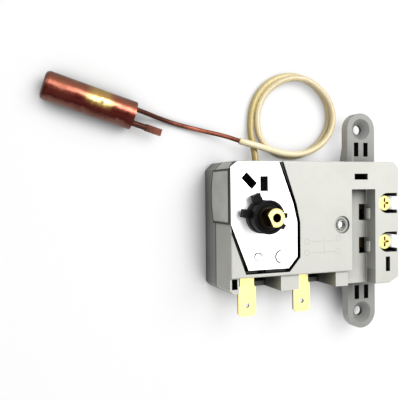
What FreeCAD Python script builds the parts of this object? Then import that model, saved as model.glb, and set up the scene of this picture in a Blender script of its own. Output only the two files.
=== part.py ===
import FreeCAD, Part
import math
import os

import Sketcher

# A two-pole temperature control with a remote bulb on a capillary, lying on its back.
# X runs along the body, Y towards the capillary side, Z out of the front along the shaft.
# The origin is under the middle of the body and its lugs, on the plane the back rests on.

doc = FreeCAD.newDocument("TemperatureControl")
sheet = doc.addObject("Spreadsheet::Sheet", "Sizes")

# Driving dimensions in millimetres, degrees where the name says so
dimensions = {
    # moulded body
    "bodyWidth": 62.6,
    "bodyHeight": 41.2,
    "bodyDepth": 21.7,
    "rearDepth": 9.2,
    "wall": 1.6,
    "panel": 1.6,
    "backFloor": 2.0,
    "upperCut": 2.4,
    "lowerCut": 1.2,
    "endCut": 2.0,
    "footCutWidth": 3.8,
    "edgeRound": 0.5,
    "runningGap": 0.05,
    "slidingGap": 0.1,
    "touchGap": 0.03,
    # sill with the flat tabs, and its three ribs
    "sillHeight": 4.9,
    "ribSetback": 1.0,
    "ribOneWidth": 3.1,
    "ribTwoStart": 17.55,
    "ribTwoWidth": 6.5,
    "ribThreeStart": 37.9,
    "ribThreeWidth": 4.7,
    "ribSlotWidth": 1.85,
    "ribSlotHeight": 3.2,
    "ribSlotDepth": 6.0,
    # wire channel and terminal block
    "channelStart": 43.65,
    "channelWidth": 9.35,
    "channelTop": 9.2,
    "channelDepth": 4.5,
    "channelFloor": 1.6,
    "wireHoleWidth": 3.35,
    "wireHoleHeight": 5.5,
    "wireHolePitch": 11.35,
    "wireHoleDrop": 2.1,
    "hookSlotStart": 44.75,
    "hookSlotTop": 4.0,
    "hookSlotWidth": 5.25,
    "hookSlotHeight": 2.0,
    "keySlotStart": 57.2,
    "keySlotTop": 32.2,
    "keySlotWidth": 1.75,
    "keySlotHeight": 5.0,
    "screwFromRight": 4.65,
    "screwPitch": 13.2,
    "screwSlotHeight": 6.9,
    "screwSlotWall": 0.7,
    "wellWall": 1.2,
    # lugs
    "lugFromRight": 6.1,
    "lugPitch": 65.8,
    "lugWidth": 11.5,
    "lugThickness": 3.4,
    "lugHoleRadius": 1.7,
    "lugSinkRadius": 3.8,
    "lugSlotWidth": 1.9,
    "lugSlotHeight": 5.0,
    "lugSlotPitch": 4.0,
    "lugSlotFromHole": 7.25,
    "lugSlotDepth": 2.6,
    "gussetRise": 6.0,
    "gussetDepth": 2.0,
    # eyelet that holds the two mouldings together
    "eyeletFromLeft": 39.8,
    "eyeletBelowMiddle": 0.2,
    "eyeletRadius": 1.5,
    "eyeletBore": 1.05,
    "eyeletHeadRadius": 2.0,
    "eyeletHeadHeight": 0.5,
    "eyeletSinkRadius": 2.9,
    "eyeletSinkDepth": 0.6,
    "eyeletBossWall": 1.1,
    # front plate, measured from the body's left face and top face
    "plateThickness": 0.7,
    "plateLift": 0.3,
    "plateGap": 1.3,
    "plateTopRight": 16.4,
    "plateShoulder": 13.7,
    "plateShoulderRight": 21.45,
    "plateRight": 22.8,
    "plateRightTop": 19.5,
    "plateRightFoot": 5.9,
    "plateFootRight": 19.65,
    "plateFootLeft": 5.75,
    "plateFoot": 2.4,
    "plateTopInset": 0.4,
    "plateUpperCut": 2.2,
    "shelfFromFoot": 5.0,
    "shelfWidth": 2.0,
    "restDrop": 1.2,
    "flangeTop": 2.5,
    "flangeBottom": 19.6,
    "flangeEdge": 8.7,
    "flangeBow": 1.7,
    "flangeBend": 1.1,
    "grooveDepth": 3.0,
    "punchWidth": 2.7,
    "punchLength": 5.0,
    "uprightPunchFromLeft": 11.2,
    "uprightPunchFromTop": 7.15,
    "uprightPunchLength": 4.7,
    "tiltedPunchFromLeft": 6.1,
    "tiltedPunchFromTop": 6.2,
    "tiltedPunchAngle": 44.0,
    "dimpleFromLeft": 9.0,
    "dimpleFromFoot": 4.3,
    "dimpleRadius": 1.3,
    "embossFromLeft": 16.6,
    "embossFromFoot": 4.0,
    "embossRadius": 1.7,
    "embossHeight": 0.12,
    # shaft, bush and dial hub
    "shaftFromLeft": 9.94,
    "shaftFromTop": 17.34,
    "shaftRadius": 3.0,
    "shaftEndRadius": 2.8,
    "shaftReach": 10.7,
    "shaftFlat": 2.15,
    "shaftFlatAngle": 206.0,
    "shaftFlatLength": 4.6,
    "shaftBoreRadius": 1.2,
    "shaftBoreDepth": 8.0,
    "shaftChamfer": 0.35,
    "threadRadius": 2.0,
    "threadOverlap": 0.7,
    "threadRelief": 0.2,
    "bushRadius": 4.3,
    "bushFlangeRadius": 5.0,
    "bushFlangeHeight": 1.0,
    "bushTubeLength": 3.6,
    "hubRadius": 5.2,
    "hubHeight": 6.0,
    "hubCollarRadius": 3.5,
    "hubRimWidth": 0.7,
    "hubRecess": 0.5,
    "hubStepHeight": 1.9,
    "hubStepInset": 0.35,
    "armReach": 7.5,
    "armWidth": 2.5,
    "armLift": 1.2,
    "armHeight": 2.1,
    "armAngleOne": 113.0,
    "armAngleTwo": 170.0,
    "nubReach": 6.1,
    "nubWidth": 1.5,
    "nubHeight": 2.3,
    "nubAngleOne": 4.0,
    "nubAngleTwo": -31.0,
    # range nut and spring
    "nutAboveSeam": 3.4,
    "nutHeight": 2.0,
    "nutRadius": 3.6,
    "nutTongueWidth": 2.4,
    "nutTongueHeight": 1.4,
    "guideRib": 1.0,
    "guideReach": 1.4,
    "springRadius": 2.9,
    "springWire": 0.7,
    "springTurns": 3.0,
    # capsule, button and lever
    "capsuleRadius": 7.0,
    "capsuleHeight": 2.6,
    "capsuleRim": 0.8,
    "buttonRadius": 1.5,
    "buttonDome": 0.5,
    "pivotFromLeft": 3.45,
    "pivotHeight": 7.5,
    "pinRadius": 0.8,
    "leverThickness": 1.0,
    "leverEyeWall": 0.6,
    "leverEyeLength": 9.0,
    "leverTipWidth": 4.0,
    "leverRootWidth": 8.0,
    "leverTipOverhang": 1.2,
    "earThickness": 1.4,
    "earDepth": 1.9,
    # pusher, blades and contacts
    "pusherFromLeft": 34.95,
    "pusherWidth": 2.0,
    "pusherHeight": 1.7,
    "pusherLength": 18.6,
    "pusherStem": 3.0,
    "guideWidth": 4.0,
    "guideThickness": 2.0,
    "guideBite": 0.9,
    "guideAboveSeam": 5.4,
    "bladeWidth": 3.0,
    "bladeThickness": 0.3,
    "contactStack": 1.0,
    "bladeRootFromRight": 21.25,
    "contactRadius": 1.1,
    "contactOneFromLeft": 29.95,
    "contactTwoFromLeft": 23.35,
    "fixedContactHeight": 0.62,
    # flat tabs
    "tabThickness": 0.8,
    "tabAboveSeam": 3.1,
    "tabWidth": 6.3,
    "tabNeck": 5.0,
    "tabReach": 9.2,
    "tabShoulder": -0.9,
    "tabTipCut": 0.9,
    "tabOneStart": 6.47,
    "tabTwoStart": 26.8,
    "tabHoleRadius": 0.8,
    "tabHoleFromTip": 3.6,
    "tabWindowMargin": 0.7,
    "tabWindowHeight": 4.8,
    "tabRunWidth": 4.2,
    "tabRunGap": 1.2,
    "tabRoot": 1.5,
    "postSize": 2.0,
    # screw terminals
    "stripThickness": 0.8,
    "stripDrop": 1.2,
    "stripWidth": 4.4,
    "stripLip": 0.6,
    "stripLipDrop": 1.5,
    "stripPost": 4.0,
    "stripPostFromRight": 14.6,
    "screwHeadRadius": 2.8,
    "screwHeadHeight": 1.6,
    "screwSink": 1.5,
    "screwThreadRadius": 1.75,
    "screwBelowStrip": 1.5,
    "screwRecessWidth": 0.75,
    "screwRecessLength": 3.4,
    "screwRecessDepth": 0.9,
    "clampThickness": 0.8,
    "clampWidth": 4.4,
    "clampLength": 6.95,
    "clampLip": 0.8,
    # capillary and bulb
    "capillaryExitFromLeft": 17.25,
    "capillaryHeight": 3.6,
    "sleeveRadius": 1.15,
    "capillaryRadius": 0.75,
    "exitClearance": 0.1,
    "coilOuterLength": 17.9,
    "coilOuterWidth": 15.9,
    "coilInnerLength": 12.4,
    "coilInnerWidth": 11.7,
    "coilHeight": 4.65,
    "coilLowSide": 2.4,
    "bulbRadius": 4.5,
    "bulbLength": 28.7,
    "bulbShell": 0.5,
    "bulbNose": 1.3,
    "bulbPlug": 2.0,
    "bulbPlugInset": 0.5,
    "fillTubeRadius": 0.95,
    "fillTubeLength": 10.8,
    "fillTubeFlat": 5.0,
    "fillTubeFlatHeight": 1.1,
    "portOffset": 2.2,
}


class Size:
    """A dimension that carries its number and the sheet expression behind it."""

    def __init__(self, text, value):
        self.text = text
        self.value = value

    def combined(self, other, sign, swapped=False):
        if not isinstance(other, Size):
            other = Size(repr(float(other)), float(other))
        first, second = (other, self) if swapped else (self, other)
        text = "(" + first.text + " " + sign + " " + second.text + ")"
        values = {
            "+": first.value + second.value,
            "-": first.value - second.value,
            "*": first.value * second.value,
        }
        if sign == "/":
            return Size(text, first.value / second.value)
        return Size(text, values[sign])

    def __add__(self, other):
        return self.combined(other, "+")

    def __radd__(self, other):
        return self.combined(other, "+", True)

    def __sub__(self, other):
        return self.combined(other, "-")

    def __rsub__(self, other):
        return self.combined(other, "-", True)

    def __mul__(self, other):
        return self.combined(other, "*")

    def __rmul__(self, other):
        return self.combined(other, "*", True)

    def __truediv__(self, other):
        return self.combined(other, "/")

    def __neg__(self):
        return self.combined(0.0, "-", True)


def fillSheet():
    for row, (alias, number) in enumerate(dimensions.items(), start=1):
        cell = "B" + str(row)
        sheet.set("A" + str(row), alias)
        sheet.set(cell, str(number))
        sheet.setAlias(cell, alias)
    doc.recompute()


def size(alias):
    return Size("Sizes." + alias, dimensions[alias])


def asSize(number):
    if isinstance(number, Size):
        return number
    return Size(repr(float(number)), float(number))


def bind(thing, path, number):
    thing.setExpression(path, asSize(number).text)


fillSheet()

# Levels and datums that several pieces share
left = size("plateThickness") - (size("bodyWidth") + size("plateThickness")) / 2
right = left + size("bodyWidth")
top = size("bodyHeight") / 2
bottom = -top
sill = bottom + size("sillHeight")
front = size("bodyDepth")
seam = size("rearDepth")
plateTop = front + size("plateLift")
plateUnder = plateTop - size("plateThickness")
channelLeft = left + size("channelStart")
channelRight = channelLeft + size("channelWidth")
channelLevel = front - size("channelDepth")
blockCeiling = channelLevel - size("channelFloor")
shaftX = left + size("shaftFromLeft")
shaftY = top - size("shaftFromTop")
screwX = right - size("screwFromRight")
lugX = right - size("lugFromRight")
lugY = size("lugPitch") / 2
eyeletX = left + size("eyeletFromLeft")
eyeletY = -size("eyeletBelowMiddle")
pivotX = left + size("pivotFromLeft")
leverUnder = size("pivotHeight") - size("leverThickness") / 2
leverTop = leverUnder + size("leverThickness")
pusherX = left + size("pusherFromLeft")
bladeRoot = right - size("bladeRootFromRight")
tabFront = seam + size("tabAboveSeam")
tabBack = tabFront - size("tabThickness")
nutBottom = seam + size("nutAboveSeam")
guideTop = seam + size("guideAboveSeam")
bladeUnder = tabFront + size("contactStack")
bushBottom = plateUnder - size("bushFlangeHeight") - size("bushTubeLength")
threadBottom = nutBottom - size("threadOverlap")
threadTop = bushBottom - size("threadRelief")
shaftTop = plateTop + size("shaftReach")
hubTop = plateTop + size("hubHeight")
armBottom = plateTop + size("armLift")
stripBottom = blockCeiling - size("stripDrop")
screwTop = front - size("screwSink")
screwTip = stripBottom - size("screwBelowStrip")
exitX = left + size("capillaryExitFromLeft")
poleY = {1: size("screwPitch") / 2, 2: -(size("screwPitch") / 2)}
contactX = {1: left + size("contactOneFromLeft"), 2: left + size("contactTwoFromLeft")}
tabX = {1: left + size("tabOneStart"), 2: left + size("tabTwoStart")}

# The spring is lofted through sections, this many to a turn
springStepsPerTurn = 16
springSides = 8

parts = {}


def keep(name, thing):
    thing.Label = name
    parts[name] = thing
    return thing


# Primitives and booleans bound to the sheet
def place(thing, x, y, z, axis="Z", angle=0.0):
    turns = {
        "Z": FreeCAD.Rotation(FreeCAD.Vector(0, 0, 1), angle),
        "X": FreeCAD.Rotation(FreeCAD.Vector(0, 1, 0), 90),
        "Y": FreeCAD.Rotation(FreeCAD.Vector(1, 0, 0), -90),
    }
    thing.Placement = FreeCAD.Placement(FreeCAD.Vector(0, 0, 0), turns[axis])
    bind(thing, "Placement.Base.x", x)
    bind(thing, "Placement.Base.y", y)
    bind(thing, "Placement.Base.z", z)
    return thing


def box(name, x, y, z, width, height, depth):
    block = doc.addObject("Part::Box", name)
    bind(block, "Length", width)
    bind(block, "Width", height)
    bind(block, "Height", depth)
    return place(block, x, y, z)


def centredBox(name, x, y, z, width, height, depth):
    return box(name, x - asSize(width) / 2, y - asSize(height) / 2, z, width, height, depth)


def rod(name, x, y, z, radius, length, axis="Z"):
    cylinder = doc.addObject("Part::Cylinder", name)
    bind(cylinder, "Radius", radius)
    bind(cylinder, "Height", length)
    return place(cylinder, x, y, z, axis)


def cone(name, x, y, z, lower, upper, length):
    taper = doc.addObject("Part::Cone", name)
    bind(taper, "Radius1", lower)
    bind(taper, "Radius2", upper)
    bind(taper, "Height", length)
    return place(taper, x, y, z)


def fuse(name, things):
    union = doc.addObject("Part::MultiFuse", name)
    union.Shapes = things
    union.Refine = True
    return union


def cut(name, base, tools):
    tool = tools[0] if len(tools) == 1 else fuse(name + "Tools", tools)
    difference = doc.addObject("Part::Cut", name)
    difference.Base = base
    difference.Tool = tool
    difference.Refine = True
    return difference


def common(name, first, second):
    overlap = doc.addObject("Part::Common", name)
    overlap.Base = first
    overlap.Tool = second
    return overlap


def spoke(name, angle, reach, width, z, depth):
    """A bar from the shaft axis outwards, at an angle in the XY plane."""
    bar = doc.addObject("Part::Box", name)
    bind(bar, "Length", reach)
    bind(bar, "Width", width)
    bind(bar, "Height", depth)
    turn = FreeCAD.Rotation(FreeCAD.Vector(0, 0, 1), angle.value)
    bar.Placement = FreeCAD.Placement(FreeCAD.Vector(0, 0, 0), turn)
    bind(bar, "Placement.Rotation.Angle", angle)
    half = width.text + " / 2"
    bind(bar, "Placement.Base.x", Size(shaftX.text + " + " + half + " * sin(" + angle.text + ")", 0))
    bind(bar, "Placement.Base.y", Size(shaftY.text + " - " + half + " * cos(" + angle.text + ")", 0))
    bind(bar, "Placement.Base.z", z)
    return bar


# Sketches and features of a body
def originPlane(body, role):
    for feature in body.Origin.OriginFeatures:
        if feature.Role == role:
            return feature
    raise ValueError(role)


def newBody(name):
    return doc.addObject("PartDesign::Body", name)


def sketchOn(body, name, role, offset):
    sketch = body.newObject("Sketcher::SketchObject", name)
    sketch.AttachmentSupport = [(originPlane(body, role), "")]
    sketch.MapMode = "FlatFace"
    bind(sketch, "AttachmentOffset.Base.z", offset)
    return sketch


def pin(sketch, kind, geometry, point, number):
    number = asSize(number)
    index = sketch.addConstraint(
        Sketcher.Constraint(kind, -1, 1, geometry, point, number.value)
    )
    sketch.setExpression("Constraints[" + str(index) + "]", number.text)


def drawPolygon(sketch, points):
    corners = [FreeCAD.Vector(asSize(x).value, asSize(y).value, 0) for x, y in points]
    first = sketch.GeometryCount
    count = len(corners)
    for index in range(count):
        sketch.addGeometry(Part.LineSegment(corners[index], corners[(index + 1) % count]), False)
    for index in range(count):
        following = first + (index + 1) % count
        sketch.addConstraint(Sketcher.Constraint("Coincident", first + index, 2, following, 1))
    for index, (x, y) in enumerate(points):
        pin(sketch, "DistanceX", first + index, 1, x)
        pin(sketch, "DistanceY", first + index, 1, y)


def pad(body, name, loops, level, length, role="XY_Plane", reversedPad=False):
    sketch = sketchOn(body, name + "Sketch", role, level)
    for loop in loops:
        drawPolygon(sketch, loop)
    feature = body.newObject("PartDesign::Pad", name)
    feature.Profile = sketch
    bind(feature, "Length", length)
    feature.Reversed = reversedPad
    return feature


def pocket(body, name, loops, level, depth, upwards=False):
    """Cut downwards from a level, or upwards, and make sure material went."""
    sketch = sketchOn(body, name + "Sketch", "XY_Plane", level)
    for loop in loops:
        drawPolygon(sketch, loop)
    doc.recompute()
    before = body.Shape.Volume
    feature = body.newObject("PartDesign::Pocket", name)
    feature.Profile = sketch
    bind(feature, "Length", depth)
    feature.Reversed = upwards
    doc.recompute()
    if not body.Shape.Volume < before:
        raise ValueError(name + " cuts nothing")
    return feature


def roundEdges(body, name, feature, radius, wanted):
    doc.recompute()
    edges = []
    for index, edge in enumerate(feature.Shape.Edges, start=1):
        if wanted(edge):
            edges.append("Edge" + str(index))
    fillet = body.newObject("PartDesign::Fillet", name)
    fillet.Base = (feature, edges)
    bind(fillet, "Radius", radius)
    return fillet


def revolve(name, profile, x, y):
    """Turn a radius and height outline about a vertical axis at x, y."""
    body = newBody(name)
    sketch = sketchOn(body, name + "Profile", "XZ_Plane", 0)
    drawPolygon(sketch, profile)
    turned = body.newObject("PartDesign::Revolution", name + "Turned")
    turned.Profile = sketch
    turned.ReferenceAxis = (sketch, ["V_Axis"])
    turned.Angle = 360
    bind(body, "Placement.Base.x", x)
    bind(body, "Placement.Base.y", y)
    return body


def rectangle(x, y, width, height):
    return [(x, y), (x + width, y), (x + width, y + height), (x, y + height)]


def rearOutline(margin):
    """The body's outline in plan, drawn in by a margin all round."""
    return [
        (left + margin, top - size("upperCut") - margin * 0.4),
        (left + size("upperCut") + margin * 0.4, top - margin),
        (right - size("endCut") - margin * 0.4, top - margin),
        (right - margin, top - size("endCut") - margin * 0.4),
        (right - margin, bottom + size("endCut") + margin * 0.4),
        (right - size("footCutWidth") - margin * 0.4, bottom + margin),
        (left + size("lowerCut") + margin * 0.4, bottom + margin),
        (left + margin, bottom + size("lowerCut") + margin * 0.4),
    ]


def frontOutline():
    return [
        (left, top - size("upperCut")),
        (left + size("upperCut"), top),
        (right - size("endCut"), top),
        (right, top - size("endCut")),
        (right, bottom + size("endCut")),
        (right - size("footCutWidth"), bottom),
        (channelLeft, bottom),
        (channelLeft, sill),
        (left, sill),
    ]


def plateOutline(margin, leftEdge, topEdge):
    """The front plate in plan. The margin widens its right, lower and slanted sides."""
    slant = margin * 1.05
    return [
        (leftEdge, top - size("flangeTop") + margin * 0.4),
        (left + size("plateUpperCut"), topEdge),
        (left + size("plateTopRight") + slant, topEdge),
        (left + size("plateShoulderRight") + slant, top - size("plateShoulder")),
        (left + size("plateRight") + margin, top - size("plateRightTop")),
        (left + size("plateRight") + margin, sill + size("plateRightFoot") - margin * 0.3),
        (left + size("plateFootRight") + margin * 0.4, sill + size("plateFoot") - margin),
        (left + size("plateFootLeft") - margin * 0.6, sill + size("plateFoot") - margin),
        (left - margin * 0.3, top - size("flangeBottom") - slant),
        (leftEdge, top - size("flangeBottom") - slant),
    ]


def tabWindow(which):
    width = size("tabWidth") + size("tabWindowMargin") * 2
    return tabX[which] - size("tabWindowMargin"), width


def makeFrontHousing():
    body = newBody("FrontShell")
    shell = pad(body, "FrontPad", [frontOutline()], seam, front - seam)
    doc.recompute()

    def frontEdge(edge):
        bounds = edge.BoundBox
        return abs(bounds.ZMin - front.value) < 0.001 and abs(bounds.ZMax - front.value) < 0.001

    roundEdges(body, "FrontRound", shell, size("edgeRound"), frontEdge)
    ribs = [
        [
            (left, sill + 0.5),
            (left, bottom + size("lowerCut")),
            (left + size("lowerCut"), bottom),
            (left + size("ribOneWidth"), bottom),
            (left + size("ribOneWidth"), sill + 0.5),
        ],
        rectangle(left + size("ribTwoStart"), bottom, size("ribTwoWidth"), size("sillHeight") + 0.5),
        rectangle(left + size("ribThreeStart"), bottom, size("ribThreeWidth"), size("sillHeight") + 0.5),
    ]
    pad(body, "Ribs", ribs, seam, front - size("ribSetback") - seam)
    linkX = left + size("ribThreeStart") + size("ribThreeWidth") - 0.2
    link = rectangle(linkX, bottom, channelLeft - linkX + 0.2, size("sillHeight") + 0.5)
    pad(body, "ChannelFoot", [link], seam, channelLevel - seam)
    cavity = [
        (left + size("wall"), top - size("upperCut") - size("wall") * 0.4),
        (left + size("upperCut") + size("wall") * 0.4, top - size("wall")),
        (channelLeft - size("wall"), top - size("wall")),
        (channelLeft - size("wall"), sill + size("wall")),
        (left + size("wall"), sill + size("wall")),
    ]
    pocket(body, "MainCavity", [cavity], seam, front - size("panel") - seam, True)
    blockCavity = [
        (channelLeft - size("wall") * 1.5, top - size("wall")),
        (right - size("endCut") - size("wall") * 0.4, top - size("wall")),
        (right - size("wall"), top - size("endCut") - size("wall") * 0.4),
        (right - size("wall"), bottom + size("endCut") + size("wall") * 0.4),
        (right - size("footCutWidth") - size("wall") * 0.4, bottom + size("wall")),
        (channelLeft, bottom + size("wall")),
        (channelLeft, sill + size("wall")),
        (channelLeft - size("wall") * 1.5, sill + size("wall")),
    ]
    pocket(body, "BlockCavity", [blockCavity], seam, blockCeiling - seam, True)
    blockLeft = channelRight + size("wall")
    blockRight = right - size("wall")
    wellEdge = size("screwPitch") / 2 + size("screwSlotHeight") / 2 + size("wellWall")
    lowRoom = bottom + size("endCut") + size("wall") * 0.4
    hollows = [
        [
            (blockLeft, lowRoom),
            (blockRight, lowRoom),
            (blockRight, -wellEdge),
            (blockLeft, -wellEdge),
        ],
        rectangle(
            channelLeft + size("wall") / 2,
            top - size("channelTop") + size("wall"),
            blockRight - size("endCut") - channelLeft,
            size("channelTop") - size("wall") * 2,
        ),
    ]
    hollowBottom = blockCeiling - 0.1
    pocket(body, "BlockHollows", hollows, hollowBottom, front - size("panel") - hollowBottom, True)
    channel = rectangle(
        channelLeft, bottom - 1.0, size("channelWidth"), top - size("channelTop") - bottom + 1.0
    )
    pocket(body, "Channel", [channel], front, size("channelDepth"))
    seat = plateOutline(size("plateGap"), left - 1.0, top + 1.0)
    pocket(body, "PlateSeat", [seat], front, front - plateUnder)
    opening = plateOutline(size("plateGap"), left + size("wall"), top - size("wall"))
    opening[-2] = (left + size("wall") + 0.1, opening[-2][1])
    pocket(body, "PlateOpening", [opening], front, size("grooveDepth"))
    slots = [
        rectangle(
            left + size("hookSlotStart"),
            top - size("hookSlotTop") - size("hookSlotHeight"),
            size("hookSlotWidth"),
            size("hookSlotHeight"),
        ),
        rectangle(
            left + size("keySlotStart"),
            top - size("keySlotTop") - size("keySlotHeight"),
            size("keySlotWidth"),
            size("keySlotHeight"),
        ),
    ]
    pocket(body, "FrontSlots", slots, front, size("panel"))
    ribSlot = rectangle(
        left + (size("ribOneWidth") - size("ribSlotWidth")) / 2,
        sill - size("ribSlotHeight") - 0.3,
        size("ribSlotWidth"),
        size("ribSlotHeight"),
    )
    pocket(body, "RibSlot", [ribSlot], front - size("ribSetback"), size("ribSlotDepth"))
    wireHoles = []
    for side in (1, -1):
        middle = side * size("wireHolePitch") / 2 - size("wireHoleDrop")
        wireHoles.append(
            rectangle(
                channelRight - size("wireHoleWidth"),
                middle - size("wireHoleHeight") / 2,
                size("wireHoleWidth"),
                size("wireHoleHeight"),
            )
        )
    pocket(body, "WireHoles", wireHoles, channelLevel, size("channelFloor"))

    cuts = []
    for which in (1, 2):
        slotRadius = size("screwSlotHeight") / 2
        depth = front - blockCeiling + 2.0
        well = rod("ScrewWell" + str(which), screwX, poleY[which], blockCeiling - 1.0, slotRadius, depth)
        cuts.append(well)
        cuts.append(
            box(
                "WireSlot" + str(which),
                screwX,
                poleY[which] - slotRadius,
                blockCeiling,
                size("screwFromRight") - size("screwSlotWall"),
                size("screwSlotHeight"),
                front - blockCeiling + 1.0,
            )
        )
        cuts.append(
            box(
                "WireMouth" + str(which),
                screwX,
                poleY[which] - size("clampWidth") / 2 - size("slidingGap"),
                blockCeiling,
                size("screwFromRight") + 1.0,
                size("clampWidth") + size("slidingGap") * 2,
                front - blockCeiling + 1.0,
            )
        )
        start, width = tabWindow(which)
        cuts.append(
            box(
                "TabWindow" + str(which),
                start,
                sill - 1.0,
                seam - 1.0,
                width,
                size("wall") + 2.0,
                size("tabWindowHeight") + 1.0,
            )
        )
    bossRadius = size("eyeletRadius") + size("eyeletBossWall")
    boss = rod("EyeletBoss", eyeletX, eyeletY, seam, bossRadius, front - seam - 0.2)
    cuts.append(rod("EyeletHole", eyeletX, eyeletY, seam - 1.0, size("eyeletRadius"), front))
    sinkLevel = front - size("eyeletSinkDepth")
    cuts.append(rod("EyeletSink", eyeletX, eyeletY, sinkLevel, size("eyeletSinkRadius"), 2.0))
    guides = []
    guideX = left + size("wall") - 0.3
    for side in (1, -1):
        inner = size("nutTongueWidth") / 2 + size("slidingGap")
        low = inner if side > 0 else -(inner + size("guideRib"))
        guides.append(
            box(
                "NutGuide" + str(side + 1),
                guideX,
                shaftY + low,
                seam,
                size("guideReach") + 0.3,
                size("guideRib"),
                plateUnder - seam - 0.5,
            )
        )
    shelfX = left + size("plateFootLeft") + size("shelfFromFoot")
    shelfUnder = seam + size("tabWindowHeight") + size("wall")
    shelfReach = size("plateFoot") - size("wall") + size("shelfWidth")
    restStart = sill + size("plateFoot") + size("slidingGap")
    shelves = [
        box(
            "PlateShelf",
            shelfX,
            sill + size("wall") / 2,
            shelfUnder,
            size("shelfWidth"),
            size("wall") / 2 + shelfReach,
            plateUnder - size("restDrop") - shelfUnder,
        ),
        box(
            "PlateRest",
            shelfX,
            restStart,
            shelfUnder,
            size("shelfWidth"),
            sill + size("wall") + shelfReach - restStart,
            plateUnder - shelfUnder,
        ),
    ]
    whole = fuse("FrontWhole", [body, boss] + guides + shelves)
    return keep("front_housing", cut("FrontHousing", whole, cuts))


def makeLug(side):
    """One ear with a thicker root, rounded in plan, drawn along Y and turned for the other side."""
    name = "Lug" + ("Upper" if side > 0 else "Lower")
    tip = lugY + size("lugWidth") / 2
    under = seam - size("lugThickness")
    root = top - size("wall")
    body = newBody(name + "Section")
    sketch = sketchOn(body, name + "Profile", "YZ_Plane", lugX - size("lugWidth") / 2)
    if side > 0:
        heights = [root, tip, tip, top + size("gussetRise"), root]
    else:
        heights = [-root, -tip, -tip, -(top + size("gussetRise")), -root]
    levels = [seam, seam, under, under, under - size("gussetDepth")]
    drawPolygon(sketch, list(zip(heights, levels)))
    slab = body.newObject("PartDesign::Pad", name + "Pad")
    slab.Profile = sketch
    bind(slab, "Length", size("lugWidth"))
    low = top - size("wall") if side > 0 else -lugY
    plan = box(
        name + "Plan",
        lugX - size("lugWidth") / 2,
        low,
        0,
        size("lugWidth"),
        lugY - top + size("wall"),
        seam,
    )
    end = rod(name + "End", lugX, side * lugY, 0, size("lugWidth") / 2, seam)
    return common(name, body, fuse(name + "Outline", [plan, end]))


def lugCuts(side):
    name = "Lug" + ("Upper" if side > 0 else "Lower")
    sinkDepth = size("lugSinkRadius") - size("lugHoleRadius")
    tools = [
        rod(name + "Hole", lugX, side * lugY, 0, size("lugHoleRadius"), seam + 1.0),
        cone(
            name + "Sink",
            lugX,
            side * lugY,
            seam - sinkDepth,
            size("lugHoleRadius"),
            size("lugSinkRadius"),
            sinkDepth,
        ),
    ]
    for step in (-1, 1):
        tools.append(
            centredBox(
                name + "Slot" + str(step + 1),
                lugX + step * size("lugSlotPitch") / 2,
                side * (lugY - size("lugSlotFromHole")),
                seam - size("lugSlotDepth"),
                size("lugSlotWidth"),
                size("lugSlotHeight"),
                size("lugSlotDepth") + 1.0,
            )
        )
    return tools


def makeRearCover():
    body = newBody("RearShell")
    pad(body, "RearPad", [rearOutline(asSize(0.0))], asSize(0.0), seam)
    pocket(body, "RearCavity", [rearOutline(size("wall"))], seam, seam - size("backFloor"))
    floor = size("backFloor") - 0.2
    pieces = [body, makeLug(1), makeLug(-1)]
    bossRadius = size("eyeletRadius") + size("eyeletBossWall")
    pieces.append(rod("RearBoss", eyeletX, eyeletY, floor, bossRadius, seam - floor))
    for which in (1, 2):
        pieces.append(
            centredBox(
                "StripPost" + str(which),
                right - size("stripPostFromRight"),
                poleY[which],
                floor,
                size("stripPost"),
                size("stripPost"),
                stripBottom - floor,
            )
        )
        pieces.append(
            centredBox(
                "TabPost" + str(which),
                tabX[which] + size("tabWidth") / 2,
                sill + size("wall") + size("postSize"),
                floor,
                size("postSize"),
                size("postSize"),
                tabBack - floor,
            )
        )
        pieces.append(
            centredBox(
                "ContactPost" + str(which),
                contactX[which],
                poleY[which],
                floor,
                size("postSize"),
                size("postSize"),
                tabBack - floor,
            )
        )
    for side in (1, -1):
        inner = size("leverEyeLength") / 2 + size("slidingGap") * 4
        low = inner if side > 0 else -(inner + size("earThickness"))
        pieces.append(
            box(
                "PivotEar" + str(side + 1),
                left + size("wall") - 0.2,
                shaftY + low,
                floor,
                pivotX + size("earDepth") / 2 - left - size("wall") + 0.2,
                size("earThickness"),
                size("pivotHeight") + size("earDepth") - floor,
            )
        )
        guideY = side * (size("pusherLength") / 2 + size("slidingGap"))
        reach = size("guideThickness")
        low = guideY - size("guideBite") if side > 0 else guideY - reach
        pieces.append(
            box(
                "PusherGuide" + str(side + 1),
                pusherX - size("guideWidth") / 2,
                low,
                floor,
                size("guideWidth"),
                reach + size("guideBite"),
                guideTop - floor,
            )
        )
    cuts = lugCuts(1) + lugCuts(-1)
    cuts.append(rod("RearEyeletHole", eyeletX, eyeletY, -1.0, size("eyeletRadius"), seam + 2.0))
    sinkRadius = size("eyeletHeadRadius") + 0.4
    cuts.append(rod("RearEyeletSink", eyeletX, eyeletY, -1.0, sinkRadius, size("eyeletSinkDepth") + 1.0))
    cuts.append(
        rod(
            "CapillaryExit",
            exitX,
            top - size("wall") - 1.0,
            size("capillaryHeight"),
            size("sleeveRadius") + size("exitClearance"),
            size("wall") + 2.0,
            "Y",
        )
    )
    pinLength = size("leverEyeLength") + size("slidingGap") * 8 + size("earThickness") * 2
    pinStart = shaftY - pinLength / 2
    cuts.append(rod("PivotHoles", pivotX, pinStart, size("pivotHeight"), size("pinRadius"), pinLength, "Y"))
    notch = size("pusherLength") + size("slidingGap") * 2
    cuts.append(
        centredBox(
            "PusherTrack",
            pusherX,
            asSize(0.0),
            leverTop,
            size("pusherWidth") + size("slidingGap") * 2,
            notch,
            guideTop - leverTop + 1.0,
        )
    )
    return keep("rear_cover", cut("RearCover", fuse("RearWhole", pieces), cuts))


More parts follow.
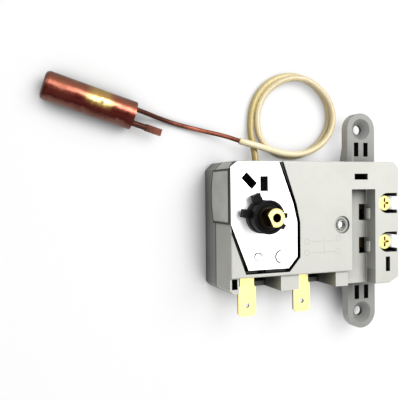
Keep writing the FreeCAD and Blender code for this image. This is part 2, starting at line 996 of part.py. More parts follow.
def makeFramePlate():
    body = newBody("PlateSheet")
    outline = plateOutline(asSize(0.0), left - size("plateThickness"), top - size("plateTopInset"))
    pad(body, "PlatePad", [outline], plateUnder, size("plateThickness"))
    doc.recompute()
    sides = newBody("PlateFlange")
    flangeUnder = left - size("plateThickness")
    middle = (size("flangeTop") + size("flangeBottom")) / 2
    quarter = (size("flangeBottom") - size("flangeTop")) / 4
    bow = [
        (top - size("flangeTop"), size("flangeEdge")),
        (top - middle + quarter, size("flangeEdge") - size("flangeBow") * 0.75),
        (top - middle, size("flangeEdge") - size("flangeBow")),
        (top - middle - quarter, size("flangeEdge") - size("flangeBow") * 0.75),
        (top - size("flangeBottom"), size("flangeEdge")),
    ]
    profile = [(top - size("flangeTop"), plateTop)] + bow + [(top - size("flangeBottom"), plateTop)]
    pad(sides, "FlangePad", [profile], flangeUnder, size("plateThickness"), "YZ_Plane")
    joined = fuse("PlateJoined", [body, sides])
    bend = centredBox(
        "BendBlock",
        flangeUnder + size("flangeBend") / 2,
        asSize(0.0),
        plateTop - size("flangeBend"),
        size("flangeBend"),
        size("bodyHeight") * 2,
        size("flangeBend"),
    )
    bendRod = rod(
        "BendRod",
        flangeUnder + size("flangeBend"),
        -(size("bodyHeight")),
        plateTop - size("flangeBend"),
        size("flangeBend"),
        size("bodyHeight") * 2,
        "Y",
    )
    corner = cut("BendCorner", bend, [bendRod])
    tilted = doc.addObject("Part::Box", "TiltedPunch")
    bind(tilted, "Length", size("punchLength"))
    bind(tilted, "Width", size("punchWidth"))
    bind(tilted, "Height", size("plateThickness") * 3)
    angle = size("tiltedPunchAngle")
    turn = FreeCAD.Rotation(FreeCAD.Vector(0, 0, -1), angle.value)
    tilted.Placement = FreeCAD.Placement(FreeCAD.Vector(0, 0, 0), turn)
    length = size("punchLength").text
    width = size("punchWidth").text
    cosine = "cos(" + angle.text + ")"
    sine = "sin(" + angle.text + ")"
    baseX = left + size("tiltedPunchFromLeft")
    baseY = top - size("tiltedPunchFromTop")
    backX = length + " / 2 * " + cosine + " + " + width + " / 2 * " + sine
    backY = length + " / 2 * " + sine + " - " + width + " / 2 * " + cosine
    bind(tilted, "Placement.Rotation.Angle", angle)
    bind(tilted, "Placement.Base.x", Size(baseX.text + " - (" + backX + ")", 0))
    bind(tilted, "Placement.Base.y", Size(baseY.text + " + (" + backY + ")", 0))
    bind(tilted, "Placement.Base.z", plateUnder - size("plateThickness"))
    upright = centredBox(
        "UprightPunch",
        left + size("uprightPunchFromLeft"),
        top - size("uprightPunchFromTop"),
        plateUnder - 1.0,
        size("punchWidth"),
        size("uprightPunchLength"),
        size("plateThickness") + 2.0,
    )
    hole = rod(
        "ShaftHole", shaftX, shaftY, plateUnder - 1.0, size("shaftRadius") + size("slidingGap") * 2, 3.0
    )
    raised = rod(
        "Emboss",
        left + size("embossFromLeft"),
        sill + size("plateFoot") + size("embossFromFoot"),
        plateUnder,
        size("embossRadius"),
        size("plateThickness") + size("embossHeight"),
    )
    dimple = rod(
        "Dimple",
        left + size("dimpleFromLeft"),
        sill + size("plateFoot") + size("dimpleFromFoot"),
        plateUnder,
        size("dimpleRadius"),
        size("plateThickness") + size("embossHeight"),
    )
    sheetWhole = fuse("PlateWhole", [joined, raised, dimple])
    return keep("frame_plate", cut("FramePlate", sheetWhole, [corner, tilted, upright, hole]))


def makeBush():
    radius = size("shaftRadius") + size("runningGap")
    under = plateUnder - size("bushFlangeHeight")
    profile = [
        (radius, bushBottom),
        (size("bushRadius"), bushBottom),
        (size("bushRadius"), under),
        (size("bushFlangeRadius"), under),
        (size("bushFlangeRadius"), plateUnder),
        (radius, plateUnder),
    ]
    keep("shaft_bush", revolve("ShaftBush", profile, shaftX, shaftY))


def makeShaft():
    bore = size("shaftBoreRadius")
    chamfer = size("shaftChamfer")
    outer = size("shaftRadius")
    free = size("shaftEndRadius")
    profile = [
        (asSize(0.0), threadBottom),
        (size("threadRadius") - chamfer, threadBottom),
        (size("threadRadius"), threadBottom + chamfer),
        (size("threadRadius"), threadTop),
        (outer, threadTop),
        (outer, hubTop),
        (free, hubTop),
        (free, shaftTop - chamfer),
        (free - chamfer, shaftTop),
        (bore, shaftTop),
        (bore, shaftTop - size("shaftBoreDepth")),
        (asSize(0.0), shaftTop - size("shaftBoreDepth") - 0.6),
    ]
    turned = revolve("ShaftTurned", profile, shaftX, shaftY)
    flat = doc.addObject("Part::Box", "ShaftFlatTool")
    flat.Length = 4
    bind(flat, "Width", size("shaftRadius") * 3)
    bind(flat, "Height", size("shaftFlatLength") + 1.0)
    angle = size("shaftFlatAngle")
    turn = FreeCAD.Rotation(FreeCAD.Vector(0, 0, 1), angle.value)
    flat.Placement = FreeCAD.Placement(FreeCAD.Vector(0, 0, 0), turn)
    reach = size("shaftFlat").text
    half = "(" + size("shaftRadius").text + " * 1.5)"
    cosine = "cos(" + angle.text + ")"
    sine = "sin(" + angle.text + ")"
    baseX = shaftX.text + " + " + reach + " * " + cosine + " + " + half + " * " + sine
    baseY = shaftY.text + " + " + reach + " * " + sine + " - " + half + " * " + cosine
    bind(flat, "Placement.Base.x", Size(baseX, 0))
    bind(flat, "Placement.Base.y", Size(baseY, 0))
    bind(flat, "Placement.Base.z", shaftTop - size("shaftFlatLength"))
    keep("control_shaft", cut("ControlShaft", turned, [flat]))


def makeHub():
    outer = size("hubRadius")
    low = plateTop + size("slidingGap")
    stepTop = low + size("hubStepHeight")
    floor = hubTop - size("hubRecess")
    profile = [
        (size("shaftRadius"), low),
        (outer, low),
        (outer, stepTop),
        (outer - size("hubStepInset"), stepTop + size("hubStepInset")),
        (outer - size("hubStepInset"), hubTop - size("hubStepInset") * 2),
        (outer, hubTop - size("hubStepInset")),
        (outer, hubTop),
        (outer - size("hubRimWidth"), hubTop),
        (outer - size("hubRimWidth") - 0.2, floor),
        (size("hubCollarRadius") + 0.2, floor),
        (size("hubCollarRadius"), hubTop),
        (size("shaftRadius"), hubTop),
    ]
    turned = revolve("HubTurned", profile, shaftX, shaftY)
    pieces = []
    for label, angle in (("ArmOne", size("armAngleOne")), ("ArmTwo", size("armAngleTwo"))):
        pieces.append(
            spoke(label, angle, size("armReach"), size("armWidth"), armBottom, size("armHeight"))
        )
    nubLevel = hubTop - size("nubHeight")
    for label, angle in (("NubOne", size("nubAngleOne")), ("NubTwo", size("nubAngleTwo"))):
        pieces.append(
            spoke(label, angle, size("nubReach"), size("nubWidth"), nubLevel, size("nubHeight"))
        )
    core = rod("HubCore", shaftX, shaftY, low - 1.0, outer - size("hubRimWidth") - 0.4, hubTop)
    spokes = cut("HubSpokes", fuse("HubSpokesRaw", pieces), [core])
    keep("dial_hub", fuse("DialHub", [turned, spokes]))


def makeRangeNut():
    disc = rod("NutDisc", shaftX, shaftY, nutBottom, size("nutRadius"), size("nutHeight"))
    start = left + size("wall") + size("slidingGap") * 2
    tongue = box(
        "NutTongue",
        start,
        shaftY - size("nutTongueWidth") / 2,
        nutBottom,
        shaftX - size("nutRadius") + 1.0 - start,
        size("nutTongueWidth"),
        size("nutTongueHeight"),
    )
    bore = rod(
        "NutBore",
        shaftX,
        shaftY,
        nutBottom - 1.0,
        size("threadRadius") + size("runningGap"),
        size("nutHeight") + 2.0,
    )
    keep("range_nut", cut("RangeNut", fuse("NutWhole", [disc, tongue]), [bore]))


def makeRangeSpring():
    wire = dimensions["springWire"]
    radius = dimensions["springRadius"]
    low = leverTop.value + dimensions["touchGap"] + wire / 2
    height = nutBottom.value - leverTop.value - 2 * dimensions["touchGap"] - wire
    sections = []
    steps = round(dimensions["springTurns"] * springStepsPerTurn)
    for step in range(steps + 1):
        along = step / steps
        around = 2 * math.pi * dimensions["springTurns"] * along
        corners = []
        for side in range(springSides + 1):
            turn = 2 * math.pi * side / springSides
            reach = radius + wire / 2 * math.cos(turn)
            level = height * along + wire / 2 * math.sin(turn)
            corners.append(FreeCAD.Vector(reach * math.cos(around), reach * math.sin(around), level))
        sections.append(Part.makePolygon(corners))
    spring = doc.addObject("Part::Feature", "RangeSpring")
    spring.Shape = Part.makeLoft(sections, True, True)
    spring.Placement = FreeCAD.Placement(
        FreeCAD.Vector(shaftX.value, shaftY.value, low), FreeCAD.Rotation()
    )
    keep("range_spring", spring)


def makeCapsule():
    floor = size("backFloor")
    ceiling = floor + size("capsuleHeight")
    rim = size("capsuleRim")
    middle = floor + size("capsuleHeight") / 2
    profile = [
        (asSize(0.0), floor),
        (size("capsuleRadius") - rim * 2, floor),
        (size("capsuleRadius") - rim, middle - rim / 2),
        (size("capsuleRadius"), middle - rim / 2),
        (size("capsuleRadius"), middle + rim / 2),
        (size("capsuleRadius") - rim, middle + rim / 2),
        (size("capsuleRadius") - rim * 2, ceiling - rim / 4),
        (size("buttonRadius") + rim, ceiling - rim / 4),
        (size("buttonRadius"), ceiling),
        (asSize(0.0), ceiling),
    ]
    keep("diaphragm_capsule", revolve("DiaphragmCapsule", profile, shaftX, shaftY))


def makeButton():
    floor = size("backFloor") + size("capsuleHeight")
    ceiling = leverUnder - size("touchGap")
    dome = size("buttonDome")
    profile = [
        (asSize(0.0), floor),
        (size("buttonRadius"), floor),
        (size("buttonRadius"), ceiling - dome),
        (size("buttonRadius") - dome * 0.6, ceiling - dome * 0.3),
        (dome * 0.5, ceiling),
        (asSize(0.0), ceiling),
    ]
    keep("push_button", revolve("PushButton", profile, shaftX, shaftY))


def makeLever():
    body = newBody("LeverPlate")
    tipX = pusherX + size("leverTipOverhang")
    rootHalf = size("leverRootWidth") / 2
    tipHalf = size("leverTipWidth") / 2
    shoulder = shaftX + size("leverRootWidth") / 2
    outline = [
        (pivotX, shaftY - rootHalf),
        (shoulder, shaftY - rootHalf),
        (tipX, -tipHalf),
        (tipX, tipHalf),
        (shoulder, shaftY + rootHalf),
        (pivotX, shaftY + rootHalf),
    ]
    pad(body, "LeverPad", [outline], leverUnder, size("leverThickness"))
    eyeRadius = size("pinRadius") + size("runningGap") + size("leverEyeWall")
    eye = rod(
        "LeverEye",
        pivotX,
        shaftY - size("leverEyeLength") / 2,
        size("pivotHeight"),
        eyeRadius,
        size("leverEyeLength"),
        "Y",
    )
    bore = rod(
        "LeverBore",
        pivotX,
        shaftY - size("leverEyeLength"),
        size("pivotHeight"),
        size("pinRadius") + size("runningGap"),
        size("leverEyeLength") * 2,
        "Y",
    )
    keep("switch_lever", cut("SwitchLever", fuse("LeverWhole", [body, eye]), [bore]))
    pinLength = size("leverEyeLength") + size("slidingGap") * 8 + size("earThickness") * 2
    pivot = rod(
        "LeverPin",
        pivotX,
        shaftY - pinLength / 2,
        size("pivotHeight"),
        size("pinRadius"),
        pinLength,
        "Y",
    )
    keep("lever_pin", pivot)


def makePusher():
    barTop = bladeUnder - size("touchGap")
    barBottom = barTop - size("pusherHeight")
    bar = centredBox(
        "PusherBar",
        pusherX,
        asSize(0.0),
        barBottom,
        size("pusherWidth"),
        size("pusherLength"),
        size("pusherHeight"),
    )
    stemBottom = leverTop + size("touchGap")
    stem = centredBox(
        "PusherStem",
        pusherX,
        asSize(0.0),
        stemBottom,
        size("pusherWidth"),
        size("pusherStem"),
        barBottom - stemBottom + 0.2,
    )
    keep("switch_pusher", fuse("SwitchPusher", [bar, stem]))


def makeBlade(which):
    tip = contactX[which] - size("contactRadius") - 0.6
    blade = box(
        "ContactBlade" + str(which),
        tip,
        poleY[which] - size("bladeWidth") / 2,
        bladeUnder,
        bladeRoot - size("runningGap") - tip,
        size("bladeWidth"),
        size("bladeThickness"),
    )
    keep("contact_blade_" + str(which), blade)
    low = tabFront + size("fixedContactHeight") + size("touchGap")
    button = rod(
        "MovingContact" + str(which),
        contactX[which],
        poleY[which],
        low,
        size("contactRadius"),
        bladeUnder - low,
    )
    keep("moving_contact_" + str(which), button)


def makeFixedContacts():
    buttons = []
    for which in (1, 2):
        buttons.append(
            rod(
                "FixedContact" + str(which),
                contactX[which],
                poleY[which],
                tabFront,
                size("contactRadius"),
                size("fixedContactHeight"),
            )
        )
    group = doc.addObject("Part::Compound", "FixedContacts")
    group.Links = buttons
    keep("fixed_contacts", group)


def makeTab(which):
    """A flat push-on tab whose inner end carries the fixed contact of one pole."""
    start = tabX[which]
    stop = start + size("tabWidth")
    neck = (size("tabWidth") - size("tabNeck")) / 2
    tip = bottom - size("tabReach")
    shoulder = bottom - size("tabShoulder")
    tipCut = size("tabTipCut")
    root = sill + size("wall") + size("tabRoot")
    right_side = [
        (start + tipCut, tip),
        (stop - tipCut, tip),
        (stop, tip + tipCut),
        (stop, shoulder - neck),
        (stop - neck, shoulder),
        (stop - neck, root),
    ]
    if which == 1:
        # the second pole: an L that runs under the blades without meeting the other tab
        runLow = poleY[2] - size("tabRunWidth") / 2
        runHigh = poleY[2] + size("tabRunWidth") / 2
        end = tabX[2] - size("tabRunGap")
        inner = [(stop - neck, runLow), (end, runLow), (end, runHigh), (start + neck, runHigh)]
    else:
        # the first pole: straight up the middle
        runHigh = poleY[1] + size("tabRunWidth") / 2
        inner = [(stop - neck, runHigh), (start + neck, runHigh)]
    left_side = [
        (start + neck, root),
        (start + neck, shoulder),
        (start, shoulder - neck),
        (start, tip + tipCut),
    ]
    body = newBody("TabTerminal" + str(which))
    outline = right_side + inner + left_side
    pad(body, "TabPad" + str(which), [outline], tabBack, size("tabThickness"))
    hole = rod(
        "TabHole" + str(which),
        start + size("tabWidth") / 2,
        tip + size("tabHoleFromTip"),
        tabBack - 1.0,
        size("tabHoleRadius"),
        size("tabThickness") + 2.0,
    )
    keep("tab_terminal_" + str(which), cut("Tab" + str(which), body, [hole]))


def makeStrip(which):
    stop = right - size("wall") - size("slidingGap")
    flat = box(
        "StripFlat" + str(which),
        bladeRoot,
        poleY[which] - size("stripWidth") / 2,
        stripBottom,
        stop - bladeRoot,
        size("stripWidth"),
        size("stripThickness"),
    )
    lip = box(
        "StripLip" + str(which),
        bladeRoot,
        poleY[which] - size("stripWidth") / 2,
        stripBottom - size("stripLipDrop"),
        size("stripLip"),
        size("stripWidth"),
        size("stripLipDrop") + 0.1,
    )
    hole = rod(
        "StripHole" + str(which),
        screwX,
        poleY[which],
        stripBottom - 1.0,
        size("screwThreadRadius") + size("runningGap"),
        size("stripThickness") + 2.0,
    )
    whole = fuse("StripWhole" + str(which), [flat, lip])
    keep("terminal_strip_" + str(which), cut("Strip" + str(which), whole, [hole]))


def makeScrew(which):
    under = screwTop - size("screwHeadHeight")
    chamfer = size("shaftChamfer")
    profile = [
        (asSize(0.0), screwTip),
        (size("screwThreadRadius") - chamfer, screwTip),
        (size("screwThreadRadius"), screwTip + chamfer),
        (size("screwThreadRadius"), under),
        (size("screwHeadRadius"), under),
        (size("screwHeadRadius"), screwTop - chamfer),
        (size("screwHeadRadius") - chamfer, screwTop),
        (asSize(0.0), screwTop),
    ]
    turned = revolve("ScrewTurned" + str(which), profile, screwX, poleY[which])
    level = screwTop - size("screwRecessDepth")
    recess = [
        centredBox(
            "RecessAlong" + str(which),
            screwX,
            poleY[which],
            level,
            size("screwRecessLength"),
            size("screwRecessWidth"),
            2.0,
        ),
        centredBox(
            "RecessAcross" + str(which),
            screwX,
            poleY[which],
            level,
            size("screwRecessWidth"),
            size("screwRecessLength"),
            2.0,
        ),
    ]
    keep("terminal_screw_" + str(which), cut("TerminalScrew" + str(which), turned, recess))


def makeClamp(which):
    ceiling = screwTop - size("screwHeadHeight")
    under = ceiling - size("clampThickness")
    start = screwX - size("screwHeadRadius") + 0.2
    flat = box(
        "ClampFlat" + str(which),
        start,
        poleY[which] - size("clampWidth") / 2,
        under,
        size("clampLength"),
        size("clampWidth"),
        size("clampThickness"),
    )
    lips = []
    for side in (1, -1):
        low = size("clampWidth") / 2 - size("clampThickness") if side > 0 else -(size("clampWidth") / 2)
        lips.append(
            box(
                "ClampLip" + str(which) + str(side + 1),
                start,
                poleY[which] + low,
                under - size("clampLip"),
                size("clampLength"),
                size("clampThickness"),
                size("clampLip") + 0.1,
            )
        )
    hole = rod(
        "ClampHole" + str(which),
        screwX,
        poleY[which],
        under - 2.0,
        size("screwThreadRadius") + size("runningGap"),
        size("clampThickness") + 4.0,
    )
    whole = fuse("ClampWhole" + str(which), [flat] + lips)
    keep("clamp_plate_" + str(which), cut("ClampPlate" + str(which), whole, [hole]))


def makeEyelet():
    """A hollow rivet, rolled over in the sinks of both mouldings."""
    low = size("eyeletSinkDepth")
    high = front - size("eyeletSinkDepth")
    head = size("eyeletHeadHeight")
    profile = [
        (size("eyeletBore"), low - head),
        (size("eyeletHeadRadius") - 0.3, low - head),
        (size("eyeletHeadRadius"), low),
        (size("eyeletRadius"), low),
        (size("eyeletRadius"), high),
        (size("eyeletHeadRadius"), high),
        (size("eyeletHeadRadius") - 0.3, high + head),
        (size("eyeletBore") + 0.2, high + head),
        (size("eyeletBore"), high + head - 0.15),
    ]
    keep("housing_eyelet", revolve("HousingEyelet", profile, eyeletX, eyeletY))


# Free capillary: straight runs joined by arcs
def roundedRoute(points, radius):
    """A tube along hand-chosen points, each corner as round as its two runs allow."""
    corners = [FreeCAD.Vector(*point) for point in points]
    edges = []
    start = corners[0]
    radii = []
    for index in range(1, len(corners) - 1):
        before = corners[index] - corners[index - 1]
        after = corners[index + 1] - corners[index]
        turn = before.getAngle(after)
        setback = 0.45 * min(before.Length, after.Length)
        bend = setback / math.tan(turn / 2)
        radii.append(bend)
        arcStart = corners[index] - before.normalize() * setback
        arcEnd = corners[index] + after.normalize() * setback
        halfway = (arcStart + arcEnd) * 0.5 - corners[index]
        reach = math.hypot(bend, setback)
        middle = corners[index] + halfway.normalize() * (reach - bend)
        edges.append(Part.LineSegment(start, arcStart).toShape())
        edges.append(Part.Arc(arcStart, middle, arcEnd).toShape())
        start = arcEnd
    edges.append(Part.LineSegment(start, corners[-1]).toShape())
    wire = Part.Wire(edges)
    profile = Part.Wire(Part.makeCircle(radius, corners[0], corners[1] - corners[0]))
    tube = wire.makePipeShell([profile], True, False)
    expected = math.pi * radius * radius * wire.Length
    print("tube length %.1f, least bend radius %.1f" % (wire.Length, min(radii)))
    print("tube volume, share of a straight one %.3f" % (tube.Volume / expected))
    return tube


def addTube(name, label, points, radius):
    tube = doc.addObject("Part::Feature", label)
    tube.Shape = roundedRoute(points, radius)
    tube.Placement = FreeCAD.Placement()
    keep(name, tube)


def ovalDisc(middle, alongX, alongY):
    longer = max(alongX, alongY)
    shorter = min(alongX, alongY)
    edge = Part.Ellipse(middle, longer, shorter).toShape()
    if alongY > alongX:
        edge.rotate(middle, FreeCAD.Vector(0, 0, 1), 90)
    return Part.Face(Part.Wire(edge)).extrude(FreeCAD.Vector(0, 0, dimensions["coilHeight"]))


def makeCapillary():
    sleeve = dimensions["sleeveRadius"]
    bare = dimensions["capillaryRadius"]
    exitPoint = (exitX.value, top.value, dimensions["capillaryHeight"])
    lead = [
        exitPoint,
        (-14.3, 24.6, 3.3),
        (-15.0, 29.0, 2.0),
        (-14.9, 33.4, 1.25),
    ]
    addTube("capillary_lead", "CapillaryLead", lead, sleeve)
    tail = [
        (-8.2, 24.9, 3.2),
        (-12.0, 25.6, 5.2),
        (-15.8, 26.8, 5.5),
        (-19.0, 28.0, 4.5),
    ]
    addTube("capillary_tail", "CapillaryTail", tail, sleeve)
    tube = [
        (-19.0, 28.0, 4.5),
        (-29.6, 31.1, 1.7),
        (-41.5, 33.4, 0.8),
        (-50.2, 35.8, 2.6),
        bulbPort(dimensions["portOffset"], 0.7),
    ]
    addTube("capillary_tube", "CapillaryTube", tube, bare)
    ring = doc.addObject("Part::Feature", "CapillaryCoil")
    middle = FreeCAD.Vector(1.8, 37.7, 0)
    hollow = FreeCAD.Vector(1.05, 37.45, 0)
    disc = ovalDisc(middle, dimensions["coilOuterLength"], dimensions["coilOuterWidth"])
    hole = ovalDisc(hollow, dimensions["coilInnerLength"], dimensions["coilInnerWidth"])
    low = FreeCAD.Vector(-20.0, 0, dimensions["coilLowSide"])
    high = FreeCAD.Vector(22.0, 0, dimensions["coilHeight"] + 0.3)
    slope = [low, high, FreeCAD.Vector(22.0, 0, 9.0), FreeCAD.Vector(-20.0, 0, 9.0), low]
    wedge = Part.Face(Part.makePolygon(slope)).extrude(FreeCAD.Vector(0, 60.0, 0))
    ring.Shape = disc.cut(hole).cut(wedge)
    ring.Placement = FreeCAD.Placement()
    keep("capillary_coil", ring)
    inletStart = FreeCAD.Vector(shaftX.value, shaftY.value, dimensions["capillaryHeight"])
    innerTop = top.value - dimensions["wall"]
    inletEnd = FreeCAD.Vector(exitX.value, innerTop - 0.5, dimensions["capillaryHeight"])
    direction = inletEnd - inletStart
    direction.normalize()
    inletStart = inletStart + direction * (dimensions["capsuleRadius"] - 0.1)
    inlet = [
        (inletStart.x, inletStart.y, inletStart.z),
        (exitX.value - 1.6, innerTop - 5.0, dimensions["capillaryHeight"]),
        (exitX.value, top.value - 0.05, dimensions["capillaryHeight"]),
    ]
    addTube("capillary_inlet", "CapillaryInlet", inlet, bare)


# Bulb: drawn along its own axis, then laid on the table
bulbEnd = FreeCAD.Vector(-56.9, 35.3, 0)
bulbTurn = 180.0 - 17.2


def bulbPlacement():
    turn = FreeCAD.Rotation(FreeCAD.Vector(0, 0, 1), bulbTurn)
    lift = FreeCAD.Vector(bulbEnd.x, bulbEnd.y, dimensions["bulbRadius"])
    return FreeCAD.Placement(lift, turn)


def bulbPort(offset, rise):
    """A point on the plug's outer face, beside the bulb's axis."""
    inward = dimensions["bulbPlugInset"]
    point = bulbPlacement().multVec(FreeCAD.Vector(inward, -offset, rise))
    return (point.x, point.y, point.z)


def makeBulb():
    outer = size("bulbRadius")
    inner = outer - size("bulbShell")
    nose = size("bulbNose")
    end = size("bulbLength")
    profile = [
        (inner, asSize(0.0)),
        (outer, asSize(0.0)),
        (outer, end - nose),
        (outer - nose * 0.3, end - nose * 0.3),
        (outer - nose, end),
        (asSize(0.0), end),
        (asSize(0.0), end - size("bulbShell")),
        (inner - nose, end - size("bulbShell")),
        (inner, end - size("bulbShell") - nose),
    ]
    bulb = newBody("SensingBulb")
    sketch = sketchOn(bulb, "BulbProfile", "XZ_Plane", 0)
    drawPolygon(sketch, profile)
    turned = bulb.newObject("PartDesign::Revolution", "BulbTurned")
    turned.Profile = sketch
    turned.ReferenceAxis = (sketch, ["V_Axis"])
    turned.Angle = 360
    alongAxis = FreeCAD.Rotation(FreeCAD.Vector(0, 1, 0), 90)
    bulb.Placement = bulbPlacement() * FreeCAD.Placement(FreeCAD.Vector(), alongAxis)
    keep("sensing_bulb", bulb)
    plug = rod(
        "PlugDisc",
        size("bulbPlugInset"),
        0,
        0,
        size("bulbRadius") - size("bulbShell"),
        size("bulbPlug"),
        "X",
    )
    lip = rod("PlugLip", size("bulbPlugInset"), 0, 0, size("bulbRadius") * 0.5, size("bulbPlug"), "X")
    plugWhole = fuse("PlugWhole", [plug, lip])
    plugWhole.Placement = bulbPlacement()
    keep("bulb_plug", plugWhole)
    stub = rod(
        "FillStub",
        size("bulbPlugInset") - size("fillTubeLength") + size("fillTubeFlat"),
        size("portOffset"),
        0,
        size("fillTubeRadius"),
        size("fillTubeLength") - size("fillTubeFlat"),
        "X",
    )
    flat = box(
        "FillFlat",
        size("bulbPlugInset") - size("fillTubeLength"),
        size("portOffset") - size("fillTubeRadius") * 1.15,
        -(size("fillTubeFlatHeight") / 2),
        size("fillTubeFlat") + 0.5,
        size("fillTubeRadius") * 2.3,
        size("fillTubeFlatHeight"),
    )
    fill = fuse("FillWhole", [stub, flat])
    fill.Placement = bulbPlacement()
    keep("fill_tube", fill)


def checkAndWrite():
    doc.recompute()
    for thing in doc.Objects:
        if "Invalid" in thing.State or "Error" in thing.State:
            raise ValueError(thing.Name + " failed")
    os.makedirs("parts", exist_ok=True)
    for name, thing in parts.items():
        shape = thing.Shape
        if shape.isNull() or not shape.isValid():
            raise ValueError(name + " has no valid shape")
        bounds = shape.BoundBox
        spans = (bounds.XMin, bounds.XMax, bounds.YMin, bounds.YMax, bounds.ZMin, bounds.ZMax)
        print("%-20s" % name, len(shape.Solids), "solids, %.1f mm3" % shape.Volume)
        print("    x %.2f %.2f, y %.2f %.2f, z %.2f %.2f" % spans)
    for name, thing in parts.items():
        thing.Shape.exportStep("parts/" + name + ".step")


makeFrontHousing()
makeRearCover()
makeFramePlate()
makeBush()
makeShaft()
makeHub()
makeRangeNut()
makeRangeSpring()
makeCapsule()
makeButton()
makeLever()
makePusher()
for pole in (1, 2):
    makeBlade(pole)
    makeTab(pole)
    makeStrip(pole)
    makeScrew(pole)
    makeClamp(pole)
makeFixedContacts()
makeEyelet()
makeCapillary()
makeBulb()
checkAndWrite()
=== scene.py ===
import bpy
import bmesh
import math
from mathutils import Matrix, Vector


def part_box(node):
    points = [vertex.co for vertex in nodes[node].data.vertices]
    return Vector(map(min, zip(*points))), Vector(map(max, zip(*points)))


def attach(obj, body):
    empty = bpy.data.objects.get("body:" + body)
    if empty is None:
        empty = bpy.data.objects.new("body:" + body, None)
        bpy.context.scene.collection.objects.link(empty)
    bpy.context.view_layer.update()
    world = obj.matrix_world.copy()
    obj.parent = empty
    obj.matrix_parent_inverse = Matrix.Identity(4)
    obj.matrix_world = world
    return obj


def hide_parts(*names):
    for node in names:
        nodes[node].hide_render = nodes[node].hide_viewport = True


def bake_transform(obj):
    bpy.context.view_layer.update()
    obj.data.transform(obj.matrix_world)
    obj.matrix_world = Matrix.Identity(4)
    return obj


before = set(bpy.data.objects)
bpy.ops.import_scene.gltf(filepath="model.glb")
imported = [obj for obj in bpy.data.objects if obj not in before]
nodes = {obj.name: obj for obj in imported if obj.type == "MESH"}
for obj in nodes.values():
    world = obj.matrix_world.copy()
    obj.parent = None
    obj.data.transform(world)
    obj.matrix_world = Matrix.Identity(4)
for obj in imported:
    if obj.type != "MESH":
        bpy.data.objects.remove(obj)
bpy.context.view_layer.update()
mm = 0.001

# where the camera stood, fitted to the housing's edges in the photograph
view = {
    "place": (-97.11, 11.50, 175.15),  # mm
    "right": (0.9388, -0.0097, 0.3443),
    "up": (0.0151, 0.9998, -0.0129),
    "back": (-0.3441, 0.0173, 0.9388),
    "lens": 49.45,  # mm on a 36 mm sensor
}


def addCamera():
    data = bpy.data.cameras.new("camera")
    data.lens = view["lens"]
    data.sensor_width = 36
    data.sensor_fit = "HORIZONTAL"
    data.clip_start = 0.005
    data.clip_end = 20
    cam = bpy.data.objects.new("camera", data)
    turn = Matrix((view["right"], view["up"], view["back"])).transposed().to_4x4()
    cam.matrix_world = Matrix.Translation(Vector(view["place"]) * mm) @ turn
    bpy.context.collection.objects.link(cam)
    bpy.context.scene.camera = cam


addCamera()
print("stage: camera")

# the capillary's route in mm: out of the body, two turns, back over itself and on to the bulb
capillary = {
    "tube": 0.75,  # radius of the copper
    "sleeve": 1.13,  # radius of the sleeve over the coil
    "sleeveBore": 0.8,
    "exit": [(-13.64, 20.55, 3.6), (-13.7, 23.4, 3.35), (-14.1, 27.0, 2.4), (-14.5, 31.0, 1.5)],
    "turnOne": [
        (-14.45, 35.3, 1.15), (-13.9, 39.6, 1.15), (-12.3, 43.8, 1.15), (-9.4, 47.6, 1.15),
        (-5.5, 50.4, 1.15), (-1.3, 51.9, 1.15), (3.0, 52.2, 1.15), (7.3, 51.4, 1.15),
        (11.4, 49.3, 1.15), (14.7, 46.1, 1.15), (16.9, 42.2, 1.15), (17.6, 37.7, 1.15),
        (16.5, 33.0, 1.15), (13.5, 28.7, 1.15), (9.1, 25.4, 1.15), (4.7, 23.6, 1.15),
        (0.4, 23.2, 1.15), (-3.8, 23.8, 1.15), (-7.8, 26.0, 1.15), (-10.7, 29.5, 1.15),
    ],
    "turnTwo": [
        (-11.8, 33.8, 1.15), (-11.8, 38.3, 1.15), (-10.5, 42.5, 1.2), (-8.0, 46.1, 1.4),
        (-4.7, 48.9, 1.9), (-0.8, 50.7, 2.5), (3.5, 51.3, 3.1), (8.0, 50.4, 3.5),
        (12.7, 47.4, 3.5), (16.4, 43.2, 3.5), (17.9, 37.7, 3.5), (16.9, 32.8, 3.5),
        (13.9, 28.6, 3.5), (9.5, 25.7, 3.5), (4.7, 24.1, 3.5), (-0.2, 23.9, 3.5),
    ],
    "tail": [
        (-4.9, 24.5, 3.9), (-9.6, 25.6, 4.8), (-13.9, 26.6, 5.2), (-17.2, 27.4, 5.1), (-20.0, 28.1, 4.7),
    ],
    "bare": [
        (-24.8, 29.9, 2.9), (-33.3, 31.7, 1.5), (-40.5, 33.3, 0.85), (-46.8, 35.0, 1.3),
        (-51.4, 36.2, 3.4), (-56.7, 37.55, 5.2),
    ],
    "sleeveEnd": (-20.1, 28.2, 4.6),
}


def smoothLine(name, route, radius):
    data = bpy.data.curves.new(name, "CURVE")
    data.dimensions = "3D"
    spline = data.splines.new("NURBS")
    spline.points.add(len(route) - 1)
    for point, place in zip(spline.points, route):
        point.co = (*place, 1)
        point.radius = radius  # the object's box is taken from this, so the bevel's depth is 1
    spline.order_u = 3
    spline.use_endpoint_u = True
    spline.resolution_u = 8
    data.resolution_u = 8
    data.bevel_depth = 1
    data.bevel_resolution = 5
    data.use_fill_caps = True
    piece = bpy.data.objects.new(name, data)
    bpy.context.collection.objects.link(piece)
    return piece


def linePoints(curve):  # points along the curve's own line
    depth = curve.data.bevel_depth
    curve.data.bevel_depth = 0
    graph = bpy.context.evaluated_depsgraph_get()
    graph.update()
    mesh = bpy.data.meshes.new_from_object(curve.evaluated_get(graph))
    points = [v.co.copy() for v in mesh.vertices]
    bpy.data.meshes.remove(mesh)
    curve.data.bevel_depth = depth
    return points


def lineLength(points):
    return sum((b - a).length for a, b in zip(points, points[1:]))


